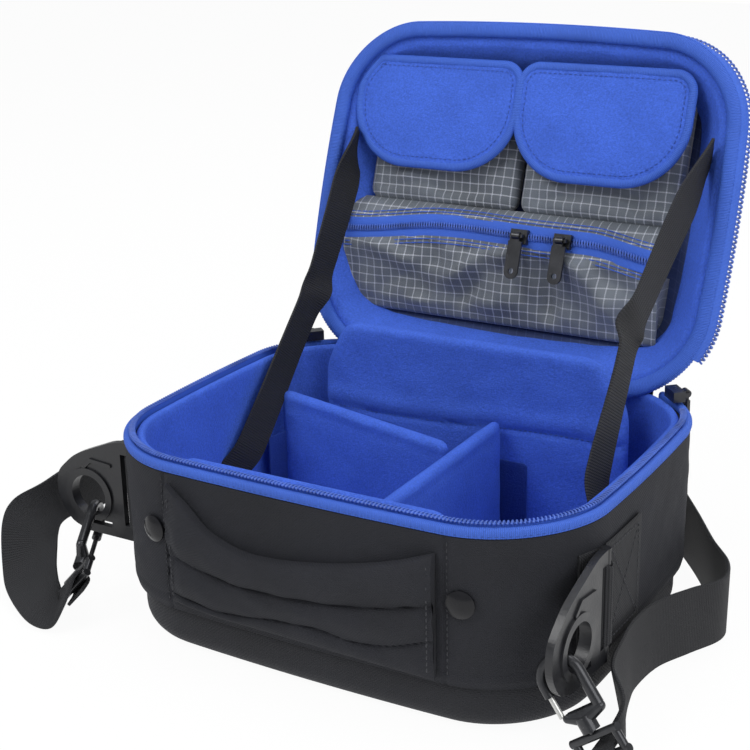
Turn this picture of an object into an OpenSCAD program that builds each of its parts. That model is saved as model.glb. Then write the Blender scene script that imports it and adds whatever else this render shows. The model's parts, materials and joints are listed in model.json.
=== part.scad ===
// Padded clamshell accessory bag with its lid open.
// X is the long side, Y points to the hinge, Z is up; the origin is the middle of the base's underside.

/* [Body] */
// Width between the corners of the body
body_w = 252; // [230:1:290]
// Depth between the corners of the body
body_d = 204; // [190:1:230]
// Height of the black wall, up to the blue rim
wall_h = 98.5; // [94:0.5:112]
// Radius of the body's upright corners
corner_r = 52; // [44:1:60]
// How far each wall bows outwards at its middle
bulge = 4.4; // [0:0.2:6]

/* [Base layers] */
// Height of the narrower bottom tray
tray_h = 25; // [18:1:32]
// Step from the wall in to the tray
tray_inset = 4.7; // [3:0.1:6]
// Wall of the tray
tray_t = 2.5; // [1.5:0.1:3]
// Radius under the tray's lower edge
tray_r = 11; // [7:0.5:13]
// Thickness of the outer fabric
cover_t = 1.5; // [1:0.1:2]
// Thickness of the foam in the walls
foam_t = 6.5; // [4:0.5:8]
// Thickness of the fleece lining
lining_t = 1.8; // [1:0.1:2.5]
// Thickness of the floor pad
floor_t = 10; // [6:0.5:14]

/* [Rim and zip] */
// Height of the rim's blue binding
binding_h = 6; // [4:0.5:7]
// Width of the rim's blue binding
binding_w = 4.4; // [3:0.2:5]
// Thickness of the zip tape
tape_t = 1; // [0.6:0.1:1.4]
// Width of one row of zip teeth
teeth_w = 2.2; // [1.6:0.1:2.8]
// Height of one row of zip teeth
teeth_h = 1.1; // [0.8:0.1:1.2]

/* [Lid] */
// Angle between the closed lid and the open one
lid_angle = 109.5; // [95:0.5:115]
// Depth of the lid
lid_depth = 38; // [36:0.5:44]
// Thickness of the lid's foam
lid_foam_t = 6; // [4:0.5:7]
// Step from the body's wall in to the lid's binding
lid_inset = 7; // [6:0.5:9]
// Width of the lid's ribbed binding
lid_bind_w = 8.5; // [7:0.5:9]
// Height of the lid's ribbed binding
lid_bind_h = 6; // [4:0.5:7]
// Distance from the hinge line forward of the body's rear corners
hinge_back = 13.5; // [12:0.5:16]

/* [Inserts] */
// Thickness of the padded dividers
divider_t = 8; // [5:0.5:10]
// Height of the dividers' top edges
divider_top = 84; // [60:1:92]
// Thickness of the front pad
front_pad_t = 6; // [4:0.5:8]
// Front face of the tall back panel
panel_y = 66; // [60:1:68]
// Thickness of the tall back panel
panel_t = 8; // [5:0.5:9]
// Width of the tall back panel
panel_w = 184; // [160:1:190]
// Top edge of the tall back panel
panel_top = 125; // [112:0.5:126]

/* [Handle] */
// Distance between the handle's two sewn ends
handle_w = 145; // [120:1:150]
// Thickness of the padded handle
handle_t = 9; // [6:0.5:12]
// Height of the handle at its ends
handle_h = 70; // [50:1:72]
// Diameter of the domed rivets
rivet_d = 13.5; // [10:0.5:15]
// Distance between the two domed rivets
rivet_gap = 167; // [158:1:172]

/* [Strap gear] */
// Width of the swivel eyes, between the middles of their sides
eye_w = 24; // [20:1:28]
// Height of each moulded ring plate
plate_h = 56; // [48:1:60]
// Reach of each moulded ring plate
plate_reach = 52; // [46:1:58]
// Thickness of each moulded ring plate
plate_t = 3.6; // [3:0.1:4.4]
// Radius of the round hole in a ring plate
ring_r = 11.5; // [9:0.5:12.5]
// Radius of the snap hook's rod
hook_rod = 2.6; // [2.4:0.1:2.8]
// Radius of the snap hook's bend
hook_bend = 9; // [9:0.1:9.6]
// Thickness of the shoulder webbing
strap_t = 1.8; // [1.2:0.1:2.4]
// Thickness of the stay webbing
stay_t = 1.6; // [1:0.1:2]
// Width of the stay webbing
stay_w = 20; // [14:1:24]

/* [Lid pockets] */
// Width of each small pocket
pocket_w = 84; // [70:1:90]
// Depth of each small pocket's body
pocket_t = 17; // [10:0.5:18]
// Thickness of the pocket flaps
flap_t = 3; // [2:0.2:4]
// Length of the pocket flaps
flap_l = 60; // [48:1:62]
// Length of the zip pullers
puller_l = 24; // [18:1:26]
// Width of the zip pullers
puller_w = 8; // [6:0.5:9]

/* [Hidden] */

// Clearances: between nested layers, between soft neighbours, and of running pins
nest_gap = 0.1;
soft_gap = 0.4;
pin_gap = 0.08;
through = 1;

// Steps of an outline's corner arcs and of its straight sides
corner_steps = 8;
side_steps = 4;

// Heights that follow from the body
rim_z = wall_h + nest_gap;
tape_top = wall_h + binding_h + 0.7;
teeth_z = tape_top + nest_gap;
hinge_z = wall_h + 8.9;
hinge_y = body_d / 2 - hinge_back;
rear_cut_z = wall_h - 2;
rear_cut_w = 200;
rear_cut_y = body_d / 2 - 32;
chain_end_y = hinge_y - 14;

// Insets of the base layers from the outer outline
foam_in = cover_t + nest_gap;
lining_in = foam_in + foam_t + 0.2;
inside_in = lining_in + lining_t;
tape_in = binding_w - 0.8 + nest_gap;
floor_top = tray_t + 0.3 + floor_t;
inner_floor = floor_top + nest_gap + lining_t;

// Heights in the closed lid
lid_rim_z = hinge_z + 0.3;
lid_shell_z = lid_rim_z + lid_bind_h + nest_gap;
lid_top_z = hinge_z + lid_depth;
lid_layers = [0, cover_t + nest_gap, cover_t + lid_foam_t + 2 * nest_gap];
lid_inner_t = 1.2;
lid_wall = lid_layers[2] + lid_inner_t;
ceiling_z = lid_top_z - lid_wall - soft_gap;

// Outline: a rounded rectangle whose sides bow outwards
function arc_pts(cx, cy, r, a0) = [for (i = [0:corner_steps])
  let (a = a0 + 90 * i / corner_steps) [cx + r * cos(a), cy + r * sin(a)]];
function side_pts(p, q) = [for (i = [1:side_steps - 1]) p + (q - p) * i / side_steps];
function rounded_pts(w, d, r) = let (x = w / 2 - r, y = d / 2 - r) concat(
  arc_pts(x, y, r, 0), side_pts([x, d / 2], [-x, d / 2]),
  arc_pts(-x, y, r, 90), side_pts([-w / 2, y], [-w / 2, -y]),
  arc_pts(-x, -y, r, 180), side_pts([-x, -d / 2], [x, -d / 2]),
  arc_pts(x, -y, r, 270), side_pts([w / 2, -y], [w / 2, y]));
function bowed(p, w, d) = [
  p.x * (1 + 2 * bulge / w * (1 - pow(2 * p.y / d, 2))),
  p.y * (1 + 2 * bulge / d * (1 - pow(2 * p.x / w, 2)))];
function outline_pts(inset) =
  let (w = body_w - 2 * inset, d = body_d - 2 * inset, r = corner_r - inset)
  [for (p = rounded_pts(w, d, max(r, 4))) bowed(p, w, d)];
// Outer face of a side wall at y, and of the front wall at x, by the same bow
function side_x(y) = let (t = max(0, abs(y) - body_d / 2 + corner_r))
  (body_w / 2 - corner_r + sqrt(corner_r * corner_r - t * t))
  * (1 + 2 * bulge / body_w * (1 - pow(2 * y / body_d, 2)));
function wall_y(x, inset = 0) =
  let (d = body_d - 2 * inset, r = corner_r - inset, t = max(0, abs(x) - body_w / 2 + corner_r))
  (d / 2 - r + sqrt(r * r - t * t)) * (1 + 2 * bulge / d * (1 - pow(2 * x / (body_w - 2 * inset), 2)));

module slab(inset, z, h) {
  translate([0, 0, z]) linear_extrude(h) polygon(outline_pts(inset));
}

// Upright wall between two insets
module ring_wall(inset, t, z, h) {
  difference() {
    slab(inset, z, h);
    slab(inset + t, z - through, h + 2 * through);
  }
}

// Room for the gusset: the rear wall is lower between the two ends of the zip
module rear_notch(z) {
  translate([-rear_cut_w / 2, rear_cut_y, z]) cube([rear_cut_w, body_d, lid_depth]);
}

// Everything behind the two ends of the zip chain
module behind_chain() {
  translate([-body_w, chain_end_y, 0]) cube([2 * body_w, body_d, 2 * body_d]);
}

// Turns what is modelled on the closed lid into its open place
module on_lid() {
  translate([0, hinge_y, hinge_z]) rotate([-lid_angle, 0, 0]) translate([0, -hinge_y, -hinge_z])
    children();
}

// --- Base ---

module base_cover() {
  color("#17181b") difference() {
    ring_wall(0, cover_t, tray_h + nest_gap, wall_h - tray_h - nest_gap);
    rear_notch(rear_cut_z);
    rivet_holes();
  }
}

module tray_solid(t) {
  steps = 5;
  hull() {
    for (i = [0:steps]) {
      a = 90 * i / steps;
      slab(tray_inset + t + (tray_r - t) * (1 - sin(a)), t + (tray_r - t) * (1 - cos(a)), 0.01);
    }
    slab(tray_inset + t, tray_h - 0.01, 0.01);
  }
}

module base_tray() {
  color("#131417") difference() {
    tray_solid(0);
    tray_solid(tray_t);
    slab(tray_inset + tray_t, tray_h - through, 2 * through);
  }
}

module base_foam() {
  color("#2b2d31") difference() {
    ring_wall(foam_in, foam_t, tray_h + nest_gap, wall_h - tray_h - 2 * nest_gap);
    rear_notch(rear_cut_z - nest_gap);
    rivet_holes();
  }
}

module base_lining() {
  color("#2450c8") difference() {
    slab(lining_in, floor_top + nest_gap, rim_z + 2 - floor_top);
    slab(inside_in, inner_floor, wall_h);
    rear_notch(rear_cut_z - nest_gap);
  }
}

module rim_binding() {
  color("#1f4fd0") difference() {
    ring_wall(-0.8, binding_w, rim_z, binding_h);
    rear_notch(rim_z - through);
  }
}

module rim_zip_tape() {
  color("#1b3fb0") difference() {
    ring_wall(tape_in, tape_t, rim_z, tape_top - rim_z);
    behind_chain();
  }
}

module rim_teeth() {
  color("#2a5fe0") difference() {
    ring_wall(tape_in + tape_t / 2 - teeth_w / 2, teeth_w, teeth_z, teeth_h);
    behind_chain();
  }
}

module floor_pad() {
  color("#1d45b8") slab(tray_inset + tray_r + 1, tray_t + 0.2, floor_t);
}

pad_reach = body_w / 2 - corner_r;
front_pad_y = soft_gap - wall_y(pad_reach, inside_in);
module front_pad() {
  color("#2450c8") translate([-pad_reach, front_pad_y, inner_floor + soft_gap])
    cube([2 * pad_reach, front_pad_t, rim_z + 1 - inner_floor]);
}

module back_panel() {
  top_w = panel_w - 24;
  color("#2450c8") translate([0, panel_y + panel_t, 0]) rotate([90, 0, 0]) linear_extrude(panel_t)
    polygon([[-panel_w / 2, inner_floor + soft_gap], [panel_w / 2, inner_floor + soft_gap],
      [panel_w / 2, rim_z], [top_w / 2, panel_top], [-top_w / 2, panel_top], [-panel_w / 2, rim_z]]);
}

// --- Dividers ---

long_x = 19.5;
long_y = front_pad_y + front_pad_t + soft_gap;
tab_t = 1.2;
tab_w = 13;
tab_h = 38;
tab_low = 8;
module divider_long() {
  color("#2855d2") translate([long_x - divider_t / 2, long_y, inner_floor + soft_gap])
    cube([divider_t, panel_y - soft_gap - tab_t - soft_gap - long_y, divider_top - inner_floor]);
}

module divider_long_tab() {
  color("#16296e")
    translate([long_x - divider_t / 2, panel_y - soft_gap - tab_t, inner_floor + soft_gap + tab_low])
    cube([divider_t + tab_w, tab_t, tab_h]);
}

// Distance from the side wall's outer face to the cross divider's end
cross_from_wall = 20;
cross_end = [cross_from_wall - body_w / 2, 50];
cross_angle = -14;
cross_l = (long_x - divider_t / 2 - 5 - cross_end.x) / cos(cross_angle);
module cross_frame() {
  translate([cross_end.x, cross_end.y, inner_floor + soft_gap]) rotate([0, 0, cross_angle]) children();
}
module divider_cross() {
  color("#2855d2") cross_frame() translate([0, -divider_t / 2, 0])
    cube([cross_l, divider_t, divider_top - inner_floor]);
}

module divider_cross_tab() {
  color("#16296e") cross_frame() translate([-tab_t - nest_gap, -divider_t / 2 - tab_w, tab_low])
    cube([tab_t, tab_w + divider_t, tab_h]);
}

// --- Handle ---

handle_z = tray_h;
handle_y = -body_d / 2 - bulge - 0.6;
// Upper and lower edge of the handle over its half width, from u = -1 to 1
function handle_top(u) = handle_z + handle_h - (1 - u * u) * handle_h * 0.42;
function handle_low(u) = handle_z + 2 + (1 - u * u) * 4;
handle_steps = 12;
module front_handle() {
  us = [for (i = [0:handle_steps]) 2 * i / handle_steps - 1];
  color("#191a1d") translate([0, handle_y, 0]) rotate([90, 0, 0]) linear_extrude(handle_t)
    polygon(concat([for (u = us) [u * handle_w / 2, handle_low(u)]],
      [for (i = [0:handle_steps]) [-us[i] * handle_w / 2, handle_top(us[i])]]));
}

rivet_z = 67;
rivet_tilt = asin((rivet_gap / 2 - body_w / 2 + corner_r) / corner_r);
shank_r = 2;
module at_rivets() {
  for (s = [-1, 1]) translate([s * rivet_gap / 2, -wall_y(rivet_gap / 2), rivet_z])
    rotate([90, 0, s * rivet_tilt]) children();
}
module rivet_holes() {
  at_rivets() translate([0, 0, -foam_in - foam_t - through])
    cylinder(r = shank_r + pin_gap, h = foam_t + 4 * through + foam_in, $fn = 32);
}
module front_rivets() {
  dome_r = rivet_d;
  dome_h = dome_r - sqrt(dome_r * dome_r - rivet_d * rivet_d / 4);
  color("#2c2d30") at_rivets() union() {
    translate([0, 0, 0.5]) intersection() {
      translate([0, 0, dome_h + 1 - dome_r]) sphere(r = dome_r, $fn = 48);
      cylinder(d = rivet_d, h = dome_h + 1, $fn = 48);
    }
    translate([0, 0, -foam_t]) cylinder(r = shank_r, h = foam_t + 1, $fn = 32);
  }
}

// --- Strap ring plates, each modelled pointing along +X from its hinge bar ---

bar_r = 2.3;
loop_t = 1.4;
ring_y = 42 - body_d / 2;
plate_z = 30.5;
ring_u = 29.5;
ring_v = 52;
bar_x = side_x(ring_y) + 0.3 + cover_t + bar_r + 0.6;
loop_z = plate_z + 9;
loop_h = plate_h - 17;
left_turn = 180;
right_turn = -94;

module ring_frame(side) {
  turn = side < 0 ? left_turn : right_turn;
  translate([side * bar_x, ring_y, 0]) rotate([0, 0, turn]) children();
}

// Smooth line through points, with a number of steps between each two
function line_through(pts, steps) = let (n = len(pts) - 1) concat(
  [for (i = [0:n - 1]) for (k = [0:steps - 1])
    blend4(pts[max(i - 1, 0)], pts[i], pts[i + 1], pts[min(i + 2, n)], k / steps)], [pts[n]]);
plate_steps = 5;
module plate_outline() {
  polygon(concat([[0, plate_z]], line_through([[plate_reach * 0.6, plate_z],
    [plate_reach * 0.83, plate_z + 4], [plate_reach * 0.97, plate_z + 14], [plate_reach, plate_z + 23],
    [plate_reach * 0.97, plate_z + 31], [plate_reach * 0.87, plate_z + 37],
    [plate_reach * 0.7, plate_z + 44], [plate_reach * 0.4, plate_z + plate_h - 5],
    [plate_reach * 0.2, plate_z + plate_h - 1], [0, plate_z + plate_h]], plate_steps)));
}
// Raised bent rib above the ring, from its foot to its tip along and up the plate
plate_rib = [[14, plate_h - 15], [27, plate_h - 14], [32, plate_h - 18.5]];
rib_r = 1.1;
rib_rise = 1;

module strap_ring(side) {
  wall = 4;
  ring_frame(side) difference() {
    union() {
      translate([0, plate_t / 2, 0]) rotate([90, 0, 0]) linear_extrude(plate_t) plate_outline();
      translate([ring_u, 0, ring_v]) rotate([90, 0, 0])
        cylinder(r = ring_r + wall, h = plate_t + 2.4, center = true, $fn = 64);
      for (i = [0:1]) hull() for (p = [plate_rib[i], plate_rib[i + 1]])
        translate([p.x, 0, plate_z + p.y]) rotate([90, 0, 0])
          cylinder(r = rib_r, h = plate_t + 2 * rib_rise, center = true, $fn = 16);
      translate([0, 0, plate_z]) cylinder(r = bar_r, h = plate_h, $fn = 32);
    }
    translate([ring_u, 0, ring_v]) rotate([90, 0, 0])
      cylinder(r = ring_r, h = 3 * plate_t, center = true, $fn = 64);
    // Slot that the sewn tab passes through
    difference() {
      translate([-2 * bar_r, -plate_t, loop_z - 1]) cube([2 * bar_r + 6.5, 2 * plate_t, loop_h + 2]);
      translate([0, 0, plate_z]) cylinder(r = bar_r, h = plate_h, $fn = 32);
    }
    // Curved slot under the ring
    translate([ring_u - 14, -plate_t, ring_v - 16.5]) cube([15, 2 * plate_t, 3]);
  }
}
module strap_ring_left() {
  color("#26282c") strap_ring(-1);
}
module strap_ring_right() {
  color("#26282c") strap_ring(1);
}

// Sewn patch on the side wall with the loop that holds the plate's bar
module ring_tab(side) {
  tab_y = [-72, -15];
  loop_r = bar_r + pin_gap + loop_t;
  difference() {
    union() {
      intersection() {
        ring_wall(-0.3 - cover_t, cover_t, plate_z + 1.5, plate_h - 2);
        translate([side > 0 ? 0 : -body_w, tab_y[0], 0]) cube([body_w, tab_y[1] - tab_y[0], wall_h]);
      }
      translate([side * bar_x, ring_y, loop_z]) cylinder(r = loop_r, h = loop_h, $fn = 48);
    }
    translate([side * bar_x, ring_y, 0]) cylinder(r = bar_r + pin_gap, h = wall_h, $fn = 48);
  }
}
module ring_tab_left() {
  color("#1b1c1f") ring_tab(-1);
}
module ring_tab_right() {
  color("#1b1c1f") ring_tab(1);
}

// --- Snap hooks: origin at the middle of the bend, hanging along -Z, opening on the -X side ---

hook_l = 20;
boss_r = 4.2;
boss_h = 7;
gate_r = 1.3;
pin_r = 1.6;
eye_rod = 2;
eye_drop = 7.4;
eye_gap = 5;
gate_tip = 5;

function lean(v) = atan2(norm([v.x, v.y]), v.z);
function spin(v) = atan2(v.y, v.x);

// Aims local -Z from place p at place q; roll turns the hook about its own length
module aim(p, q, roll) {
  v = p - q;
  translate(p) rotate([0, 0, spin(v)]) rotate([0, lean(v), 0]) rotate([0, 0, roll]) children();
}

left_bar = [-bar_x - 29.2, ring_y + 0.4, 36.1];
left_eye = left_bar + [15.585, -35, -15.5];
right_bar = [bar_x - 3.185, ring_y - 38.9, 40.8];
right_eye = right_bar + [20.3, -3.9, -25.3];
// Turns of each hook and of its eye about the hook's length
left_rolls = [180, 218.6];
right_rolls = [200, 2];

module hook_frame(side, part) {
  if (side < 0) aim(left_bar, left_eye, left_rolls[part]) children();
  else aim(right_bar, right_eye, right_rolls[part]) children();
}
function hook_reach(side) = side < 0 ? norm(left_bar - left_eye) : norm(right_bar - right_eye);

module snap_hook(side) {
  drop = hook_reach(side) - eye_drop - boss_h;
  hook_frame(side, 0) difference() {
    union() {
      rotate([90, 0, 0]) rotate_extrude(angle = 180, $fn = 48)
        translate([hook_bend, 0]) circle(r = hook_rod, $fn = 24);
      translate([hook_bend, 0, -drop + 2]) cylinder(r = hook_rod, h = drop - 2, $fn = 24);
      translate([-hook_bend, 0, -gate_tip]) cylinder(r = hook_rod, h = gate_tip, $fn = 24);
      hull() {
        translate([hook_bend, 0, -drop + 1]) sphere(r = hook_rod, $fn = 24);
        translate([0, 0, -drop - 1]) sphere(r = boss_r - 0.6, $fn = 24);
        translate([-hook_bend + 2, 0, -drop + 2]) sphere(r = hook_rod - 0.4, $fn = 24);
      }
      translate([0, 0, -drop - boss_h]) cylinder(r = boss_r, h = boss_h, $fn = 48);
    }
    translate([0, 0, -drop - boss_h - through]) cylinder(r = pin_r + pin_gap, h = boss_h, $fn = 32);
    translate([0, 0, -drop - 3.2]) cylinder(r = pin_r + 1.1 + pin_gap, h = 2.2, $fn = 32);
    // Slot for the gate's foot
    translate([-hook_bend - 4, -gate_r - pin_gap, -drop + 1])
      cube([7.4, 2 * gate_r + 2 * pin_gap, 6]);
  }
}
module snap_hook_left() {
  color("#45474b") snap_hook(-1);
}
module snap_hook_right() {
  color("#8e9092") snap_hook(1);
}

module hook_gate(side) {
  drop = hook_reach(side) - eye_drop - boss_h;
  hook_frame(side, 0) translate([-hook_bend, 0, -drop + 3])
    cylinder(r = gate_r, h = drop - gate_tip - 3 - soft_gap, $fn = 24);
}
module hook_gate_left() {
  color("#6b6d70") hook_gate(-1);
}
module hook_gate_right() {
  color("#c8c9c6") hook_gate(1);
}

// Eye with a headed pin that turns in the hook's boss; its window's middle is hook_reach down
module swivel_eye(side) {
  reach = hook_reach(side);
  pin_z = -reach + eye_drop + boss_h;
  hook_frame(side, 1) union() {
    translate([0, 0, pin_z - 3.1]) cylinder(r = pin_r + 1, h = 2, $fn = 32);
    translate([0, 0, -reach + eye_gap]) cylinder(r = pin_r, h = pin_z + reach - eye_gap - 2, $fn = 32);
    for (s = [-1, 1]) {
      translate([s * eye_w / 2, 0, -reach - eye_gap]) cylinder(r = eye_rod, h = 2 * eye_gap, $fn = 24);
      translate([0, 0, -reach + s * eye_gap]) rotate([0, 90, 0])
        cylinder(r = eye_rod, h = eye_w + 2 * eye_rod, center = true, $fn = 24);
    }
  }
}
module swivel_eye_left() {
  color("#45474b") swivel_eye(-1);
}
module swivel_eye_right() {
  color("#8e9092") swivel_eye(1);
}

// --- Shoulder webbing: each row is the upper and the lower edge of the band ---

function unit(v) = v / norm(v);
// Direction of an eye's bars, for an eye turned by a about the line from p to q
function across(p, q, a) = let (s = spin(p - q), l = lean(p - q))
  cos(a) * [cos(s) * cos(l), sin(s) * cos(l), -sin(l)] + sin(a) * [-sin(s), cos(s), 0];
// Row of the band at an eye, from its place down the hook's line and out from it
function eye_row(p, q, a, along, out) =
  let (d = unit(q - p), e = across(p, q, a), c = q + d * along + cross(e, d) * out)
  [c - e * eye_band_w / 2, c + e * eye_band_w / 2];
eye_band_w = 16.4;
wrap_r = eye_rod + strap_t / 2 + 0.8;
eye_wrap = [[12, 2.2], [eye_gap, wrap_r], [eye_gap - 0.71 * wrap_r, 0.71 * wrap_r], [eye_gap - wrap_r, 0]];

// Body that the strap's route is laid out around, and a point of the route moved with the real body
route_w = 252;
route_d = 204;
function share_of(v, half) = min(max(v / half, -1), 1);
function beside(p) = [p.x + share_of(p.x, route_w / 2) * (body_w - route_w) / 2,
  p.y + share_of(p.y, route_d / 2) * (body_d - route_d) / 2, p.z];
function laid(rows) = [for (row = rows) [for (p = row) beside(p)]];

// Row of the band beside the slide, from its place along the slide and out from it
slide_at = beside([95.6, 127.2, 21]);
slide_turn = -52;
slide_t = 3;
slide_edges = [2, 40];
function slide_row(x, y) = [for (z = slide_edges) [slide_at.x + x * cos(slide_turn) - y * sin(slide_turn),
  slide_at.y + x * sin(slide_turn) + y * cos(slide_turn), z]];
slide_out = slide_t / 2 + strap_t / 2 + 0.6;

left_route = concat(
  [for (r = eye_wrap) eye_row(left_bar, left_eye, left_rolls[1], r[0], r[1])],
  [for (r = [[eye_gap - 0.71 * wrap_r, -0.71 * wrap_r], [eye_gap, -wrap_r], [eye_gap + 3, -wrap_r - 0.6]])
    eye_row(left_bar, left_eye, left_rolls[1], r[0], r[1])],
  laid([[[-152, -102, 11], [-139, -115, 15]],
  [[-156, -97, 14], [-146, -119, 3]],
  [[-160, -94, 17], [-161, -119, 3]],
  [[-166, -88, 21], [-187, -105, 6]],
  [[-172, -80, 26], [-197, -97, 16]],
  [[-180, -70, 28], [-201, -90, 38]],
  [[-188, -58, 28], [-203, -78, 47]],
  [[-194, -42, 25], [-200, -58, 50]],
  [[-196, -24, 20], [-194, -32, 56]],
  [[-194, 0, 21], [-186, 0, 58]],
  [[-189, 40, 12], [-183, 40, 49]],
  [[-172, 90, 2], [-169, 89, 40]],
  [[-132, 138, 1], [-131, 137, 39]],
  [[-72, 172, 1], [-72, 171, 39]],
  [[-5, 182, 1], [-5, 181, 39]],
  [[55, 165, 1], [54, 164, 39]]]),
  [slide_row(-15, slide_out), slide_row(-9.2, slide_out), slide_row(-6, 0),
  slide_row(-2.8, -slide_out), slide_row(-0.4, -slide_out)]);

right_route = concat(
  [slide_row(0.4, -slide_out), slide_row(2.8, -slide_out), slide_row(6, 0),
  slide_row(9.2, slide_out), slide_row(15, slide_out)],
  laid([[[124, 96, 1], [123, 95, 38.5]],
  [[141, 70, 1], [140, 68, 38.5]],
  [[154, 50, 1], [155, 47, 38.5]],
  [[157, 34, 1], [159, 28, 38.5]],
  [[148, 14, 1], [149, 11, 38.5]],
  [[139, -6, 1], [139, -9, 38.5]],
  [[136.5, -28, 1], [136, -30, 38.5]],
  [[138.5, -42, 1], [137, -48, 37]],
  [[143, -58, 1.5], [139.5, -66, 33]],
  [[150, -76, 4], [152, -84, 27]]]),
  [for (r = concat([[0.6, -6.5]], [for (i = [3:-1:0]) eye_wrap[i]]))
    eye_row(right_bar, right_eye, right_rolls[1], r[0], r[1])]);

route_steps = 3;
function blend4(p, q, r, s, t) = 0.5 * ((2 * q) + (r - p) * t + (2 * p - 5 * q + 4 * r - s) * t * t
  + (3 * q - p - 3 * r + s) * t * t * t);
function route_at(route, e, i, t) = let (n = len(route) - 1)
  blend4(route[max(i - 1, 0)][e], route[i][e], route[min(i + 1, n)][e], route[min(i + 2, n)][e], t);
function route_edge(route, e) = concat([for (i = [0:len(route) - 2]) for (k = [0:route_steps - 1])
  route_at(route, e, i, k / route_steps)], [route[len(route) - 1][e]]);
// Thickness direction of the band at each ring
function band_normals(a, b) = let (n = len(a) - 1) [for (i = [0:n])
  unit(cross((a[min(i + 1, n)] + b[min(i + 1, n)]) - (a[max(i - 1, 0)] + b[max(i - 1, 0)]), b[i] - a[i]))];

module band(route, t) {
  a = route_edge(route, 0);
  b = route_edge(route, 1);
  m = band_normals(a, b);
  n = len(a) - 1;
  pts = [for (i = [0:n]) each [a[i] - m[i] * t / 2, b[i] - m[i] * t / 2,
    b[i] + m[i] * t / 2, a[i] + m[i] * t / 2]];
  sides = [for (i = [0:n - 1]) for (k = [0:3]) let (p = 4 * i + k, q = 4 * i + (k + 1) % 4)
    each [[p, q, q + 4], [p, q + 4, p + 4]]];
  polyhedron(pts, concat([[2, 1, 0], [3, 2, 0]], sides,
    [[4 * n, 4 * n + 1, 4 * n + 2], [4 * n, 4 * n + 2, 4 * n + 3]]));
}

module strap_left() {
  color("#1c1d20") band(left_route, strap_t);
}
module strap_right() {
  color("#1c1d20") band(right_route, strap_t);
}

module strap_slide() {
  slot_h = 40;
  color("#1d1e21") translate(slide_at) rotate([0, 0, slide_turn]) difference() {
    cube([26, slide_t, 48], center = true);
    for (s = [-1, 1]) translate([s * 6, 0, 0]) cube([7, 8, slot_h], center = true);
  }
}

// --- Stays and gusset, drawn with the lid open ---

// Place in the open lid of a point given on the closed lid
function opened(p) = let (y = p.y - hinge_y, z = p.z - hinge_z)
  [p.x, hinge_y + y * cos(lid_angle) + z * sin(lid_angle),
    hinge_z - y * sin(lid_angle) + z * cos(lid_angle)];

// Flat webbing from point to point; its width lies square to the run, in planes of constant x
module stay(points) {
  color("#202225") for (i = [0:len(points) - 2]) {
    p = points[i];
    q = points[i + 1];
    d = unit([0, q.y - p.y, q.z - p.z]);
    w = [0, -d.z, d.y] * stay_w / 2;
    hull() for (e = [p, q]) for (s = [-1, 1])
      translate(e + s * w) rotate([0, 90, 0]) cylinder(r = stay_t / 2, h = stay_t, center = true, $fn = 8);
  }
}
stay_x = body_w / 2 - 24;
// Place of each stay's end on the closed lid, back and up from the hinge
stay_seat = [-116.5, 5.5];
// Fold and lower end of each stay: sideways past its seat, then back and up from the hinge
left_folds = [[7, -0.5, 28.6], [10.5, -73.5, -49.4]];
right_folds = [[4, -58.5, 50.6], [6, -100.5, -15.4]];
function stay_line(side, folds) = concat(
  [opened([side * stay_x, hinge_y + stay_seat.x, hinge_z + stay_seat.y])],
  [for (f = folds) [side * (stay_x + f.x), hinge_y + f.y, hinge_z + f.z]]);
module stay_left() {
  stay(stay_line(-1, left_folds));
}
module stay_right() {
  stay(stay_line(1, right_folds));
}

gusset_t = 1.2;
module hinge_gusset() {
  foot_y = body_d / 2 + bulge + 0.4;
  foot = [foot_y, rear_cut_z - 8];
  lip = [foot_y + 0.4, rear_cut_z - 0.5];
  back = [foot_y + 9, rear_cut_z - 0.8];
  color("#17181b") translate([-rear_cut_w / 2 + 10, 0, 0]) rotate([90, 0, 90])
    linear_extrude(rear_cut_w - 20)
    polygon([foot, foot + [gusset_t, 0], lip + [gusset_t, -gusset_t], back + [0, -gusset_t], back, lip]);
}

// --- Lid, modelled closed ---

// Depths of the dome's levels, as shares of the lid's depth, and their insets from the lid's edge
dome_levels = [[0.16, 2.4], [0.27, 4.3], [0.45, 8.6], [0.64, 12.8], [0.85, 18], [0.96, 24], [1, 31]];

module dome(t) {
  hull() {
    for (l = dome_levels)
      slab(lid_inset + l[1] + t, max(hinge_z + l[0] * (lid_depth - t), lid_shell_z), 0.01);
  }
}

module dome_shell(t, wall) {
  difference() {
    dome(t);
    dome(t + wall);
    slab(lid_inset + dome_levels[0][1] + t + wall, lid_shell_z - through, through + 0.5);
  }
}

module lid_cover() {
  color("#17181b") on_lid() dome_shell(lid_layers[0], cover_t);
}
module lid_foam() {
  color("#2b2d31") on_lid() dome_shell(lid_layers[1], lid_foam_t);
}
module lid_lining() {
  color("#141c3c") on_lid() dome_shell(lid_layers[2], lid_inner_t);
}

module lid_binding() {
  color("#2458dd") on_lid() ring_wall(lid_inset, lid_bind_w, lid_rim_z, lid_bind_h);
}

module lid_zip_tape() {
  color("#1b3fb0") on_lid() difference() {
    ring_wall(lid_inset - 4.4, 4.2, lid_rim_z + 0.6, tape_t);
    behind_chain();
  }
}

module lid_teeth() {
  color("#2a5fe0") on_lid() difference() {
    ring_wall(lid_inset - 4.5 - teeth_w, teeth_w, lid_rim_z + 0.3, teeth_h);
    behind_chain();
  }
}

// --- Lid pockets, on the closed lid, whose ceiling is up ---

pocket_face_z = ceiling_z - pocket_t;
pocket_top_y = -70;
pocket_low_y = 1;
left_x = -51;
right_x = 45;

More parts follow.
